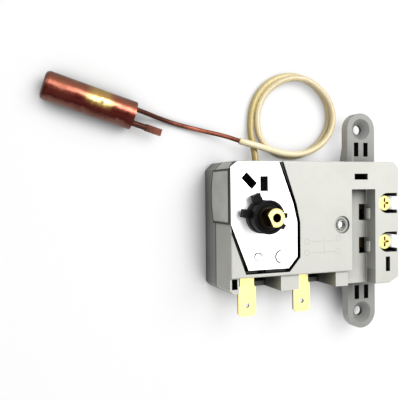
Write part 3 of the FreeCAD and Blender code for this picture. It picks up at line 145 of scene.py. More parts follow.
def finishMesh(bm, name, smooth=True):
    bmesh.ops.recalc_face_normals(bm, faces=bm.faces[:])
    mesh = bpy.data.meshes.new(name)
    bm.to_mesh(mesh)
    bm.free()
    for face in mesh.polygons:
        face.use_smooth = smooth
    piece = bpy.data.objects.new(name, mesh)
    bpy.context.collection.objects.link(piece)
    return piece


def tubeMesh(name, points, outer, inner, sides=20):
    # a hollow sleeve along the points, with its share of the length kept for the material
    bm = bmesh.new()
    along = bm.verts.layers.float.new("along")
    total = lineLength(points)
    gone = 0
    rings = []
    side = Vector((0, 0, 1))
    for index, point in enumerate(points):
        before = points[max(index - 1, 0)]
        after = points[min(index + 1, len(points) - 1)]
        if index:
            gone += (point - before).length
        run = (after - before).normalized()
        side = (side - run * side.dot(run)).normalized()
        other = run.cross(side)
        ring = []
        for radius in (outer, inner):
            for step in range(sides):
                turn = 2 * math.pi * step / sides
                vert = bm.verts.new(point + (side * math.cos(turn) + other * math.sin(turn)) * radius)
                vert[along] = gone / total
                ring.append(vert)
        rings.append(ring)
    for first, second in zip(rings, rings[1:]):
        for layer in (0, sides):
            for step in range(sides):
                following = (step + 1) % sides
                bm.faces.new((first[layer + step], first[layer + following],
                              second[layer + following], second[layer + step]))
    for ring in (rings[0], rings[-1]):
        for step in range(sides):
            following = (step + 1) % sides
            bm.faces.new((ring[step], ring[following], ring[sides + following], ring[sides + step]))
    return finishMesh(bm, name)


def makeCapillary():
    route = []
    for part in ("exit", "turnOne", "turnTwo", "tail", "bare"):
        route += [Vector(p) * mm for p in capillary[part]]
    line = smoothLine("capillary", route, capillary["tube"] * mm)
    points = linePoints(line)
    end = Vector(capillary["sleeveEnd"]) * mm
    last = min(range(len(points)), key=lambda i: (points[i] - end).length)
    sleeve = tubeMesh("sleeve", points[: last + 1], capillary["sleeve"] * mm, capillary["sleeveBore"] * mm)
    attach(line, "housing")
    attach(sleeve, "housing")
    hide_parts("capillary_tube")
    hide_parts("capillary_lead", "capillary_coil", "capillary_tail")
    length = lineLength(points)
    print("stage: capillary, %.1f mm long" % (length / mm))
    return line, sleeve


capillaryLine, sleevePiece = makeCapillary()


# the range spring, which gives way between the lever and the range nut
spring = {"wire": 0.7, "turns": 3.6, "steps": 26, "sides": 10, "lift": 0.16, "drop": 0.02, "flatEnd": 0.16,
          "flatRise": 0.12}


def springLevel(share):  # both end coils lie nearly flat
    flat, rise = spring["flatEnd"], spring["flatRise"]
    if share < flat:
        return rise * share / flat
    if share > 1 - flat:
        return 1 - rise * (1 - share) / flat
    return rise + (1 - 2 * rise) * (share - flat) / (1 - 2 * flat)


def makeSpring():
    low, high = (Vector(corner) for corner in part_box("range_spring"))
    wire = spring["wire"] / 2 * mm
    radius = (high.x - low.x) / 2 - wire
    foot = low.z + wire + spring["lift"] * mm
    head = high.z - wire - spring["drop"] * mm
    centreX, centreY = (low.x + high.x) / 2, (low.y + high.y) / 2
    count = round(spring["turns"] * spring["steps"])
    bm = bmesh.new()
    rings = []
    for step in range(count + 1):
        share = step / count
        around = 2 * math.pi * spring["turns"] * share
        level = foot + (head - foot) * springLevel(share)
        ring = []
        for side in range(spring["sides"]):
            turn = 2 * math.pi * side / spring["sides"]
            reach = radius + wire * math.cos(turn)
            ring.append(bm.verts.new((centreX + reach * math.cos(around), centreY + reach * math.sin(around),
                                      level + wire * math.sin(turn))))
        rings.append(ring)
    for ring, following in zip(rings, rings[1:]):
        for side in range(spring["sides"]):
            after = (side + 1) % spring["sides"]
            bm.faces.new((ring[side], ring[after], following[after], following[side]))
    bm.faces.new(rings[0])
    bm.faces.new(list(reversed(rings[-1])))
    piece = finishMesh(bm, "spring")
    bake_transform(piece)
    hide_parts("range_spring")
    return piece


springPiece = makeSpring()
print("stage: range spring")


class Sock:  # a node's output that takes part in sums
    def __init__(self, paint, socket):
        self.paint = paint
        self.socket = socket

    def joined(self, operation, first, second):
        return self.paint.maths(operation, first, second)

    def __add__(self, other):
        return self.joined("ADD", self, other)

    __radd__ = __add__

    def __sub__(self, other):
        return self.joined("SUBTRACT", self, other)

    def __rsub__(self, other):
        return self.joined("SUBTRACT", other, self)

    def __mul__(self, other):
        return self.joined("MULTIPLY", self, other)

    __rmul__ = __mul__

    def __truediv__(self, other):
        return self.joined("DIVIDE", self, other)

    def __rtruediv__(self, other):
        return self.joined("DIVIDE", other, self)


class Paint:  # one material, or the sky, with the shader that it starts from
    def __init__(self, name, sky=None):
        self.material = sky or bpy.data.materials.new(name)
        self.material.use_nodes = True
        self.tree = self.material.node_tree
        self.shader = self.tree.nodes["Background" if sky else "Principled BSDF"]
        self.output = self.tree.nodes["World Output" if sky else "Material Output"]

    def put(self, socket, value):
        if isinstance(value, Sock):
            self.tree.links.new(value.socket, socket)
        elif isinstance(value, tuple) and len(value) == 3 and socket.type == "RGBA":
            socket.default_value = (*value, 1)
        else:
            socket.default_value = value

    def node(self, kind, settings=None, values=None, out=0):
        made = self.tree.nodes.new(kind)
        for key, value in (settings or {}).items():
            if key == "stops":
                ramp = made.color_ramp
                while len(ramp.elements) < len(value):
                    ramp.elements.new(0.5)
                for element, (place, colour) in zip(ramp.elements, value):
                    element.position = place
                    element.color = (*colour, 1)
            else:
                setattr(made, key, value)
        for key, value in (values or {}).items():
            self.put(made.inputs[key], value)
        return Sock(self, made.outputs[out])

    def outs(self, sock, *names):  # other outputs of a node that was made
        return [Sock(self, sock.socket.node.outputs[name]) for name in names]

    def place(self):
        return self.node("ShaderNodeTexCoord", out="Object")

    def parts(self, vector):
        return self.outs(self.node("ShaderNodeSeparateXYZ", None, {0: vector}), 0, 1, 2)

    def normal(self):
        return self.parts(self.node("ShaderNodeTexCoord", out="Normal"))

    def noise(self, scale, detail=3, rough=0.55, vector=None):
        values = {"Scale": scale, "Detail": detail, "Roughness": rough, "Vector": vector or self.place()}
        return self.node("ShaderNodeTexNoise", None, values, "Fac")

    def stretched(self, scale, detail, rough, stretch):  # noise drawn out along an axis
        vector = self.node("ShaderNodeVectorMath", {"operation": "MULTIPLY"}, {0: self.place(), 1: stretch})
        return self.noise(scale, detail, rough, vector)

    def mix(self, factor, first, second):
        return self.node("ShaderNodeMix", {"data_type": "RGBA"}, {0: factor, 6: first, 7: second}, 2)

    def ramp(self, value, stops):
        stops = [(place, lin(*tone)) for place, tone in stops]
        return self.node("ShaderNodeValToRGB", {"stops": stops}, {0: value})

    def maths(self, operation, first, second=0.0):
        return self.node("ShaderNodeMath", {"operation": operation}, {0: first, 1: second})

    def smooth(self, value, low, high):
        settings = {"interpolation_type": "SMOOTHSTEP"}
        return self.node("ShaderNodeMapRange", settings, {"Value": value, "From Min": low, "From Max": high})

    def line(self, value, low, high):  # 1 where the value is near 0, on either side
        return 1 - self.smooth(self.maths("ABSOLUTE", value), low, high)

    def within(self, value, low, high, soft=0.00005):
        return self.smooth(value, low - soft, low + soft) * (1 - self.smooth(value, high - soft, high + soft))

    def larger(self, first, second):
        return self.maths("MAXIMUM", first, second)

    def reach(self, right, up):
        return self.maths("SQRT", right * right + up * up)

    def bump(self, height, strength, distance, normal=None):
        values = {"Strength": strength, "Distance": distance, "Height": height}
        if normal:
            values["Normal"] = normal
        return self.node("ShaderNodeBump", None, values)

    def paintedShade(self, colour, reach, low, high, shadeTone):  # painted shade, darker towards the depth of a crevice
        around = self.node("ShaderNodeAmbientOcclusion", {"samples": 12}, {"Distance": reach}, "AO")
        return self.mix(1 - self.smooth(around, low, high), colour, shadeTone)

    def surface(self, **values):
        for key, value in values.items():
            self.put(self.shader.inputs[key.replace("_", " ")], value)
        return self.material


def lin(r, g, b):  # screen colour, 0 to 255, as the shader wants it
    return tuple(((c / 255 + 0.055) / 1.055) ** 2.4 if c > 10 else c / 255 / 12.92 for c in (r, g, b))


# moulded shells; places are in metres
shellLook = {
    "front": {"base": (206, 206, 199), "shade": (198, 198, 191), "rough": 0.36},
    "rear": {"base": (150, 151, 147), "shade": (138, 139, 135), "rough": 0.42},
    # the ridge's plastic is painted lighter than the shell's, a painted highlight, and gets no painted
    # crevice shade
    "ridge": {"base": (236, 236, 230), "shade": (226, 226, 220), "rough": 0.3},
    "cloud": 60,  # noise sizes, per metre
    "grain": 2600,
    "flow": 140,
    "speck": 0.86,  # how dark the specks are
    "seam": 0.0092,  # height of the joint between the two shells
    "seamWidth": 0.00028,
    "seamTone": (24, 24, 24),
    "reach": 0.011,  # how far a crevice's shade is felt
    "shellShadeTone": (5, 5, 5),
    "litWall": (0.0216, 0.0226),
    "lugLight": {"y": (0.0212, 0.0216), "x": (0.0228, 0.0236), "tone": (203, 204, 200)},
    "shadedBay": {"y": (-0.0206, -0.0157), "x": (-0.0302, -0.0300), "z": (0.013, 0.024), "tone": (30, 30, 28)},
    "pocket": {"x": (-0.0306, 0.0040), "y": (-0.0152, 0.0203), "z": (0.0190, 0.02162), "tone": (7, 7, 7)},
    "shadedSlot": {"y": (0.0066, -0.0066), "half": (0.00352, 0.00362), "x": (0.0235, 0.0239),
             "z": (0.0095, 0.0215), "tone": (26, 20, 14)},
}
signLook = {
    "circles": ((-0.0044, -0.0053), (-0.0044, -0.0087), (0.0074, -0.0044), (0.0072, -0.0088)),
    "circleRadius": 0.00085,
    "strokes": ((-0.0029, 0.0014, -0.0053, -0.0053), (0.0026, 0.0057, -0.0053, -0.0053),
                (-0.0029, 0.0057, -0.0088, -0.0088), (0.0020, 0.0020, -0.0094, -0.0036)),
    "strokeHalf": 0.00011,
    "level": (0.0216, 0.02165),
    "tone": (120, 120, 116),
}


def wiringSign(paint, x, y, z):  # plain raised circles and strokes, two poles of a switch
    half = signLook["strokeHalf"]
    sign = 0.0
    for cx, cy in signLook["circles"]:
        away = paint.reach(x - cx, y - cy) - signLook["circleRadius"]
        sign = paint.larger(paint.line(away, half * 0.7, half * 1.6), sign)
    for x0, x1, y0, y1 in signLook["strokes"]:
        stroke = paint.within(x, x0 - half, x1 + half) * paint.within(y, y0 - half, y1 + half)
        sign = paint.larger(stroke, sign)
    return sign * paint.smooth(z, *signLook["level"])


def mouldedPlastic(name, base, shade, rough, signed=False, creviceShaded=True):
    paint = Paint(name)
    x, y, z = paint.parts(paint.place())
    nx, ny, nz = paint.normal()
    cloud = paint.noise(shellLook["cloud"], 4, 0.6)
    speck = paint.noise(shellLook["grain"], 2, 0.6)
    flow = paint.stretched(shellLook["flow"], 3, 0.5, (1.0, 0.25, 1.0))
    colour = paint.mix(paint.smooth(cloud, 0.35, 0.7), lin(*base), lin(*shade))
    speckTone = lin(*[level * shellLook["speck"] for level in shade])
    colour = paint.mix(paint.smooth(speck, 0.6, 0.75) * 0.25, colour, speckTone)

    seam = paint.line(z - shellLook["seam"], shellLook["seamWidth"], shellLook["seamWidth"] * 2)
    upright = paint.line(nz, 0.4, 0.6)
    colour = paint.mix(seam * upright * 0.85, colour, lin(*shellLook["seamTone"]))
    shaded = colour
    if creviceShaded:
        # painted shade in crevices and recesses
        shaded = paint.paintedShade(colour, shellLook["reach"], 0.20, 1.0, lin(*shellLook["shellShadeTone"]))
    colour = paint.mix(paint.within(x, *shellLook["litWall"]) * 0.6, shaded, colour)

    leftward = paint.smooth(0 - nx, 0.5, 0.7)
    # painted light: the lugs' outer left sides are lifted to a lighter grey
    lugLight = shellLook["lugLight"]
    litLugSide = leftward * paint.smooth(paint.maths("ABSOLUTE", y), *lugLight["y"])
    colour = paint.mix(litLugSide * (1 - paint.smooth(x, *lugLight["x"])) * 0.85, colour, lin(*lugLight["tone"]))
    # painted shade on the leftward faces behind the tabs' ribs
    shadedBay = shellLook["shadedBay"]
    bayShade = leftward * paint.within(y, *shadedBay["y"]) * paint.smooth(x, *shadedBay["x"])
    colour = paint.mix(bayShade * (1 - paint.smooth(z, *shadedBay["z"])) * 0.85, colour, lin(*shadedBay["tone"]))
    # painted shade in the pocket under the plate, near black and metallic so that it reflects dark
    pocket = shellLook["pocket"]
    pocketShade = paint.within(x, *pocket["x"]) * paint.within(y, *pocket["y"])
    pocketShade = pocketShade * paint.within(z, *pocket["z"], 0.00002)
    colour = paint.mix(pocketShade * 0.97, colour, lin(*pocket["tone"]))
    # painted shade on the walls of the screws' slots
    shadedSlot = shellLook["shadedSlot"]
    wall = paint.within(z, *shadedSlot["z"], 0.0001) * paint.smooth(paint.maths("ABSOLUTE", ny), 0.5, 0.7)
    for pole in shadedSlot["y"]:
        slotShade = paint.line(y - pole, *shadedSlot["half"]) * wall * paint.smooth(x, *shadedSlot["x"])
        colour = paint.mix(slotShade * 0.9, colour, lin(*shadedSlot["tone"]))

    waves = paint.bump(flow, 0.05, 0.0003, paint.bump(speck, 0.12, 0.00004))
    if signed:
        sign = wiringSign(paint, x, y, z)
        colour = paint.mix(sign * 0.16, colour, lin(*signLook["tone"]))
        waves = paint.bump(sign, 0.5, 0.00012, waves)
    return paint.surface(Base_Color=colour, Metallic=pocketShade, Roughness=rough + flow * 0.12,
                         Normal=waves, IOR=1.5)


# bright and dull steel
steelLook = {
    "clamp": {"base": (216, 218, 220), "rough": 0.22},
    "dull": {"base": (150, 152, 152), "rough": 0.34, "brushed": (4.0, 4.0, 4.0)},
    "spring": {"base": (120, 122, 126), "rough": 0.3, "brushed": (20.0, 1.0, 1.0)},
    "silver": {"base": (220, 218, 210), "rough": 0.3, "brushed": (3.0, 3.0, 3.0)},
    "haze": 0.88,  # how dark the hazy patches are
    "shadeTone": (8, 8, 8),
}


def platedSteel(name, base, rough, brushed=(1.0, 14.0, 1.0)):
    paint = Paint(name)
    streaks = paint.stretched(420, 3, 0.6, brushed)
    haze = paint.smooth(paint.noise(90, 4, 0.65), 0.45, 0.8)
    hazeTone = lin(*[level * steelLook["haze"] for level in base])
    colour = paint.mix(haze * 0.35, lin(*base), hazeTone)
    # painted shade in crevices
    colour = paint.paintedShade(colour, 0.006, 0.05, 0.95, lin(*steelLook["shadeTone"]))
    return paint.surface(Base_Color=colour, Metallic=1.0, Roughness=rough + streaks * 0.08 + haze * 0.06,
                         Normal=paint.bump(streaks, 0.04, 0.00002))


# the front plate, with its bent side flange, the scale's dashes and the two stamped marks
plateLook = {
    "face": (252, 252, 253),
    "faceHaze": (228, 228, 230),
    "rough": 0.44,
    "flangeRougher": 0.10,  # by how much the flange is rougher than the face
    "edgeShadeTone": (14, 14, 14),  # painted shade on the plate's thickness, under the face
    "faceLevel": 0.0213,
    "bendShadeTone": (16, 16, 16),
    # the flange's darker grey is painted shade on the same metal as the face, with random haze
    "flangeShaded": (178, 178, 174),
    "flangeHaze": (140, 140, 136),
    "flangeTop": 0.0181,
    "flangeFoot": 0.0010,
    "flangeEdge": 0.0087,  # height of the flange's edge at its ends
    "flangeBow": 0.0017,
    "flangeBend": (0.0210, 0.0212),
    "edgeLine": 0.0008,
    "edgeShadowTone": (22, 22, 22),
    "shaft": (-0.02101, 0.00326),
    "dashRing": (0.0094, 0.0096),
    "dashRows": (-0.0075, 0.005),
    "dashes": 16,
    "dashTone": (150, 150, 154),
    "ring": (-0.0220, -0.0092, 0.0012),
    "arc": (-0.0139, -0.0095, 0.0020),
    "markHalf": (0.0001, 0.00032),
    "markShadeTone": (52, 52, 54),
}


def flangeColour(paint, y, z, marks):
    brushed = paint.stretched(700, 3, 0.6, (1.0, 0.12, 1.0))
    haze = paint.smooth(marks, 0.35, 0.75) * 0.5 + brushed * 0.2
    colour = paint.mix(haze, lin(*plateLook["flangeShaded"]), lin(*plateLook["flangeHaze"]))
    middle = (plateLook["flangeTop"] + plateLook["flangeFoot"]) / 2
    half = (plateLook["flangeTop"] - plateLook["flangeFoot"]) / 2
    share = (y - middle) / half
    edge = plateLook["flangeEdge"] - (1 - share * share) * plateLook["flangeBow"]
    # painted shadow along the flange's bowed edge, at its ends and along the bend
    line = plateLook["edgeLine"]
    low = 1 - paint.smooth(z - edge, line * 0.6, line * 1.3)
    ends = paint.smooth(paint.maths("ABSOLUTE", y - middle), half - line * 1.2, half - line * 0.5)
    rim = paint.larger(paint.larger(low, ends), paint.smooth(z, *plateLook["flangeBend"]))
    return paint.mix(rim * 0.9, colour, lin(*plateLook["edgeShadowTone"]))


def faceColour(paint, x, y, marks):
    right, up = x - plateLook["shaft"][0], y - plateLook["shaft"][1]
    band = paint.within(paint.reach(right, up), *plateLook["dashRing"], 0.00008)
    turns = paint.maths("SINE", paint.maths("ARCTAN2", up, right) * plateLook["dashes"])
    dashes = band * paint.smooth(turns, 0.1, 0.4) * paint.within(up, *plateLook["dashRows"], 0.001)
    # painted shade along the edges of the two stamped marks, darker on one side
    cx, cy, radius = plateLook["ring"]
    ring = paint.line(paint.reach(x - cx, y - cy) - radius, *plateLook["markHalf"])
    ring = ring * (paint.smooth(y - cy, -0.0003, 0.0008) * 0.35 + 0.65)
    cx, cy, radius = plateLook["arc"]
    arc = paint.line(paint.reach(x - cx, y - cy) - radius, *plateLook["markHalf"])
    arc = arc * (1 - paint.smooth(x - cx, -0.0010, 0.0014))
    haze = paint.smooth(marks, 0.5, 0.8) * 0.06
    colour = paint.mix(haze, lin(*plateLook["face"]), lin(*plateLook["faceHaze"]))
    colour = paint.mix(dashes * 0.8, colour, lin(*plateLook["dashTone"]))
    return paint.mix(paint.larger(ring, arc), colour, lin(*plateLook["markShadeTone"]))


def frontPlate():
    paint = Paint("front plate")
    x, y, z = paint.parts(paint.place())
    nx, nz = paint.normal()[::2]
    streaks = paint.stretched(420, 3, 0.6, (1.0, 14.0, 1.0))
    marks = paint.noise(90, 4, 0.65)
    side = paint.smooth(0 - nx, 0.5, 0.8)
    # painted shade along the bend between the face and the flange
    bendShade = paint.smooth(0 - nx, 0.3, 0.45) * paint.smooth(nz, 0.3, 0.45)
    face = paint.mix(bendShade * 0.95, faceColour(paint, x, y, marks), lin(*plateLook["bendShadeTone"]))
    colour = paint.mix(side, face, flangeColour(paint, y, z, marks))
    edgeShade = paint.within(z, 0, plateLook["faceLevel"]) * (1 - side)
    colour = paint.mix(edgeShade * 0.9, colour, lin(*plateLook["edgeShadeTone"]))
    rough = plateLook["rough"] + side * plateLook["flangeRougher"] + streaks * 0.05
    return paint.surface(Base_Color=colour, Metallic=0.95 + side * 0.05, Roughness=rough,
                         Normal=paint.bump(streaks, 0.04, 0.00002))


# hollow eyelet: grey ring with painted light and shade across it, a bore painted bright and glowing, with
# painted shade at its edge
eyeletLook = {
    "axis": (0.00885, -0.0002),
    "bore": (0.00112, 0.00122),
    "boreLitTone": (250, 250, 248),
    "boreEdge": (0.0196, 0.0202),  # the bore has painted shade above this height
    "boreShadeTone": (20, 20, 19),
    "paintedBoreLight": (0.75, 0.75, 0.74),
    "ringShade": (-0.0012, 0.0006),  # painted shade: the ring darkens from the left to the right of its axis
    "ringLit": (172, 173, 171),
    "ring": (112, 113, 111),
    "worn": (96, 97, 95),
}


def brightEyelet():
    paint = Paint("eyelet plating")
    x, y, z = paint.parts(paint.place())
    right, up = x - eyeletLook["axis"][0], y - eyeletLook["axis"][1]
    bore = 1 - paint.smooth(paint.reach(right, up), *eyeletLook["bore"])
    lit = 1 - paint.smooth(z, *eyeletLook["boreEdge"])
    shade = paint.smooth(right, *eyeletLook["ringShade"])
    ring = paint.mix(shade, lin(*eyeletLook["ringLit"]), lin(*eyeletLook["ring"]))
    wear = paint.smooth(paint.noise(600, 3, 0.6), 0.4, 0.7)
    ring = paint.mix(wear * 0.3, ring, lin(*eyeletLook["worn"]))
    inner = paint.mix(lit, lin(*eyeletLook["boreShadeTone"]), lin(*eyeletLook["boreLitTone"]))
    # painted light: the bore glows though it is no lamp
    glow = paint.mix(bore * lit, (0.0, 0.0, 0.0), eyeletLook["paintedBoreLight"])
    return paint.surface(Base_Color=paint.mix(bore, ring, inner), Metallic=0.6, Roughness=0.4,
                         Emission_Color=glow, Emission_Strength=1.0)


# brass, from the polished shaft to the darker strips inside; the side, inside and crevice tones are painted
# shade
brassLook = {
    "shaft": {"base": (250, 232, 150), "worn": (238, 214, 130), "rough": 0.3, "amount": 0.4,
              "side": (34, 20, 9), "end": (0.0314, 0.0321)},
    "bush": {"base": (150, 120, 70), "worn": (98, 74, 40), "rough": 0.5, "amount": 0.4},
    "screw": {"base": (252, 240, 150), "worn": (226, 160, 66), "rough": 0.3, "amount": 0.7,
              "side": (150, 104, 40), "reach": 0.0006},
    "tab": {"base": (248, 238, 160), "worn": (214, 196, 128), "rough": 0.3, "amount": 0.35,
            "side": (120, 84, 34), "inside": (-0.0172, -0.0150)},
    "strip": {"base": (112, 98, 62), "worn": (70, 60, 38), "rough": 0.4, "amount": 0.6,
              "side": (60, 48, 26), "reach": 0.012},
    "shaftBore": (0.0013, 0.0015),
    "insideShadeTone": (30, 24, 12),
    "shadeTone": (10, 7, 4),
}


def wornBrass(name, base, worn, rough, amount, side=None, reach=0.004, end=None, inside=None):
    paint = Paint(name + " brass")
    marks = paint.noise(260, 5, 0.65)
    streaks = paint.stretched(900, 2, 0.5, (1.0, 1.0, 6.0))
    wear = paint.smooth(marks, 0.45, 0.75)
    colour = paint.mix(wear * amount, lin(*base), lin(*worn))
    if side:
        # painted shade on the upright faces
        upright = paint.line(paint.normal()[2], 0.3, 0.7)
        colour = paint.mix(upright * 0.97, colour, lin(*side))
    if end:  # painted shade: only the shaft's end face stays bright, and its bore has a dark edge
        x, y, z = paint.parts(paint.place())
        away = paint.reach(x - plateLook["shaft"][0], y - plateLook["shaft"][1])
        bright = paint.smooth(z, *end) * paint.smooth(away, *brassLook["shaftBore"])
        colour = paint.mix((1 - bright) * 0.97, colour, lin(*side))
    if inside:  # painted shade where the blade runs inside the housing
        y = paint.parts(paint.place())[1]
        colour = paint.mix(paint.smooth(y, *inside) * 0.9, colour, lin(*brassLook["insideShadeTone"]))
    # painted shade in crevices
    colour = paint.paintedShade(colour, reach, 0.05, 0.95, lin(*brassLook["shadeTone"]))
    return paint.surface(Base_Color=colour, Metallic=1.0, Roughness=rough + wear * 0.15,
                         Normal=paint.bump(streaks + marks * 0.5, 0.08, 0.00003))


blackLook = {"base": (11, 10, 10), "dust": (30, 28, 26), "rough": 0.5}


def blackMoulding():
    paint = Paint("black moulding")
    grain = paint.noise(3200, 2, 0.5)
    dust = paint.smooth(paint.noise(500, 4, 0.7), 0.6, 0.8)
    colour = paint.mix(dust * 0.2, lin(*blackLook["base"]), lin(*blackLook["dust"]))
    return paint.surface(Base_Color=colour, Roughness=blackLook["rough"] + grain * 0.15,
                         Specular_IOR_Level=0.10,
                         Normal=paint.bump(grain, 0.12, 0.00003))


# copper of the capillary, its inlet and the bulb
copperLook = {"base": (142, 84, 66), "dull": (62, 28, 24), "burnt": (46, 30, 24), "insideShade": (4, 3, 3)}
bulbLook = {
    "foot": (-0.0569, 0.0353),
    "axis": (-0.9553, 0.2957),
    "length": 0.0287,
    "radius": 0.0045,
    "dull": (96, 52, 42),
    "gold": (0.0080, 0.0150),  # where a heat stain lies, along the bulb
    "goldTone": (168, 142, 78),
    "gleam": (0.0070, 0.0165),
    "gleamTone": (240, 220, 150),
    "spot": (0.0108, 0.02),
    "spotTone": (66, 50, 18),
    "rimTone": (52, 34, 26),
    "shadingBands": ((0.0, (116, 84, 73)), (0.08, (100, 66, 57)), (0.15, (58, 20, 18)), (0.36, (52, 16, 13)),
              (0.46, (96, 44, 35)), (0.53, (168, 105, 86)), (0.60, (164, 100, 80)), (0.68, (124, 73, 57)),
              (0.88, (112, 72, 54)), (1.0, (72, 50, 40))),
}


def stainedAndShadedBulb(paint, marks, fine, dull):  # painted light and shade in bands across the bulb, real tarnish, a heat stain, a painted highlight and a spot
    x, y = paint.parts(paint.place())[:2]
    footX, footY = bulbLook["foot"]
    axisX, axisY = bulbLook["axis"]
    along = (x - footX) * axisX + (y - footY) * axisY
    across = ((x - footX) * axisY - (y - footY) * axisX) / bulbLook["radius"]
    drift = across + (marks - 0.5) * 0.5 + (fine - 0.5) * 0.25
    colour = paint.ramp(drift * 0.5 + 0.5, bulbLook["shadingBands"])
    colour = paint.mix(dull * 0.3, colour, lin(*bulbLook["dull"]))
    gold = paint.within(along + (marks - 0.5) * 0.004, *bulbLook["gold"], 0.0018)
    gold = gold * paint.smooth(drift, -0.5, 0.0)
    colour = paint.mix(gold * 0.6, colour, lin(*bulbLook["goldTone"]))
    # painted highlight along the bulb's lit middle, strongest over the heat stain
    lit = paint.within(drift, -0.12, 0.24, 0.1) * paint.within(along, *bulbLook["gleam"], 0.003)
    colour = paint.mix(lit * gold * 0.75 + lit * 0.12, colour, lin(*bulbLook["gleamTone"]))
    away = paint.reach(along - bulbLook["spot"][0], (across - bulbLook["spot"][1]) * bulbLook["radius"])
    blot = 1 - paint.smooth(away + (fine - 0.5) * 0.0008, 0.0003, 0.0009)
    colour = paint.mix(blot * 0.8, colour, lin(*bulbLook["spotTone"]))
    rim = paint.smooth(along, bulbLook["length"] - 0.0009, bulbLook["length"] - 0.0003)
    return paint.mix(rim * 0.7, colour, lin(*bulbLook["rimTone"]))


def bareCopper(name):
    paint = Paint(name + " copper")
    marks = paint.noise(150, 5, 0.65)
    fine = paint.noise(900, 4, 0.6)
    dull = paint.smooth(marks, 0.35, 0.7)
    colour = paint.mix(dull * 0.75, lin(*copperLook["base"]), lin(*copperLook["dull"]))
    if name == "bulb":
        colour = stainedAndShadedBulb(paint, marks, fine, dull)
    if name == "capillary":  # darker near the brazed end
        x, y = paint.parts(paint.place())[:2]
        near = 1 - paint.smooth(paint.reach(x - bulbLook["foot"][0], y - bulbLook["foot"][1]), 0.009, 0.028)
        colour = paint.mix(near * 0.8, colour, lin(*copperLook["burnt"]))
    if name == "inlet":  # painted shade where it lies inside the housing
        colour = paint.paintedShade(colour, 0.012, 0.75, 1.0, lin(*copperLook["insideShade"]))
    return paint.surface(Base_Color=colour, Metallic=1.0, Roughness=0.32 + dull * 0.2,
                         Normal=paint.bump(fine, 0.15, 0.00005))


# the sleeve's colour along its length, from the body to its open end: its own pale tone with painted shade,
# darkest near the body where its shadow falls
sleeveLook = {
    "toneAndShade": ((0.0, (176, 146, 60)), (0.08, (188, 168, 98)), (0.2, (216, 198, 144)),
              (0.35, (222, 204, 158)), (0.5, (228, 214, 176)), (0.62, (216, 200, 162)),
              (0.75, (214, 196, 158)), (0.85, (234, 214, 170)), (0.93, (252, 240, 206)),
              (1.0, (248, 230, 190))),
    "cloud": (222, 204, 154),
}


def sleevePlastic():
    paint = Paint("sleeve plastic")
    along = paint.node("ShaderNodeAttribute", {"attribute_name": "along"}, None, "Fac")
    cloud = paint.noise(120, 3, 0.5)
    tone = paint.ramp(along, sleeveLook["toneAndShade"])
    colour = paint.mix(paint.smooth(cloud, 0.4, 0.7) * 0.25, tone, lin(*sleeveLook["cloud"]))
    return paint.surface(Base_Color=colour, Roughness=0.32 + cloud * 0.1,
                         Normal=paint.bump(cloud, 0.06, 0.0002),
                         Coat_Weight=0.25, Subsurface_Weight=0.12, Subsurface_Radius=(0.6, 0.45, 0.25),
                         Subsurface_Scale=0.001)


looks = {
    "front shell": mouldedPlastic("front shell", **shellLook["front"], signed=True),
    "rear shell": mouldedPlastic("rear shell", **shellLook["rear"]),
    "ridge": mouldedPlastic("ridge", **shellLook["ridge"], creviceShaded=False),
    "plate": frontPlate(),
    "eyelet": brightEyelet(),
    "clamp": platedSteel("clamp plating", **steelLook["clamp"]),
    "dull steel": platedSteel("dull steel", **steelLook["dull"]),
    "spring steel": platedSteel("spring steel", **steelLook["spring"]),
    "silver": platedSteel("contact silver", **steelLook["silver"]),
    "black": blackMoulding(),
    "sleeve": sleevePlastic(),
}
for brassPiece in ("shaft", "bush", "screw", "tab", "strip"):
    looks[brassPiece] = wornBrass(brassPiece, **brassLook[brassPiece])
for copperPiece in ("capillary", "inlet", "bulb"):
    looks[copperPiece] = bareCopper(copperPiece)

lookNodes = {
    "front shell": ["front_housing"],
    "rear shell": ["rear_cover"],
    "plate": ["frame_plate"],
    "eyelet": ["housing_eyelet"],
    "clamp": ["clamp_plate_1", "clamp_plate_2"],
    "dull steel": ["diaphragm_capsule", "lever_pin", "switch_lever", "range_nut"],
    "spring steel": ["contact_blade_1", "contact_blade_2"],
    "silver": ["fixed_contacts", "moving_contact_1", "moving_contact_2", "push_button"],
    "black": ["switch_pusher", "dial_hub"],
    "shaft": ["control_shaft"],
    "bush": ["shaft_bush"],
    "screw": ["terminal_screw_1", "terminal_screw_2"],
    "tab": ["tab_terminal_1", "tab_terminal_2"],
    "strip": ["terminal_strip_1", "terminal_strip_2"],
    "capillary": ["bulb_plug", "fill_tube"],
    "inlet": ["capillary_inlet"],
    "bulb": ["sensing_bulb"],
}


def dress(piece, look):
    piece.data.materials.clear()
    piece.data.materials.append(looks[look])


for look, nodeNames in lookNodes.items():
    for nodeName in nodeNames:
        dress(nodes[nodeName], look)
dress(capillaryLine, "capillary")
dress(sleevePiece, "sleeve")
dress(springPiece, "spring steel")
print("stage: materials on the CAD pieces")

# low ridges on the channel's right wall, one beside each window, in mm; their lighter plastic is a painted
# highlight
ridge = {"x": (21.6, 22.2), "z": (17.0, 18.9), "y": ((1.3, 4.9), (-10.0, -6.4)), "round": 0.12,
         "frontBand": 0.1}


def makeRidge(number, foot, head):
    bm = bmesh.new()
    bmesh.ops.create_cube(bm, size=1.0)
    low = Vector((ridge["x"][0], foot, ridge["z"][0])) * mm
    high = Vector((ridge["x"][1], head, ridge["z"][1])) * mm
    for corner in bm.verts:
        corner.co = Vector([low[i] if corner.co[i] < 0 else high[i] for i in range(3)])
    front = low.x + ridge["frontBand"] * mm
    edges = [edge for edge in bm.edges if min(vert.co.x for vert in edge.verts) < front]
    bmesh.ops.bevel(bm, geom=edges, offset=ridge["round"] * mm, segments=3, profile=0.5, affect="EDGES")
    piece = finishMesh(bm, "window_ridge_%d" % number)
    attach(piece, "housing")
    dress(piece, "ridge")


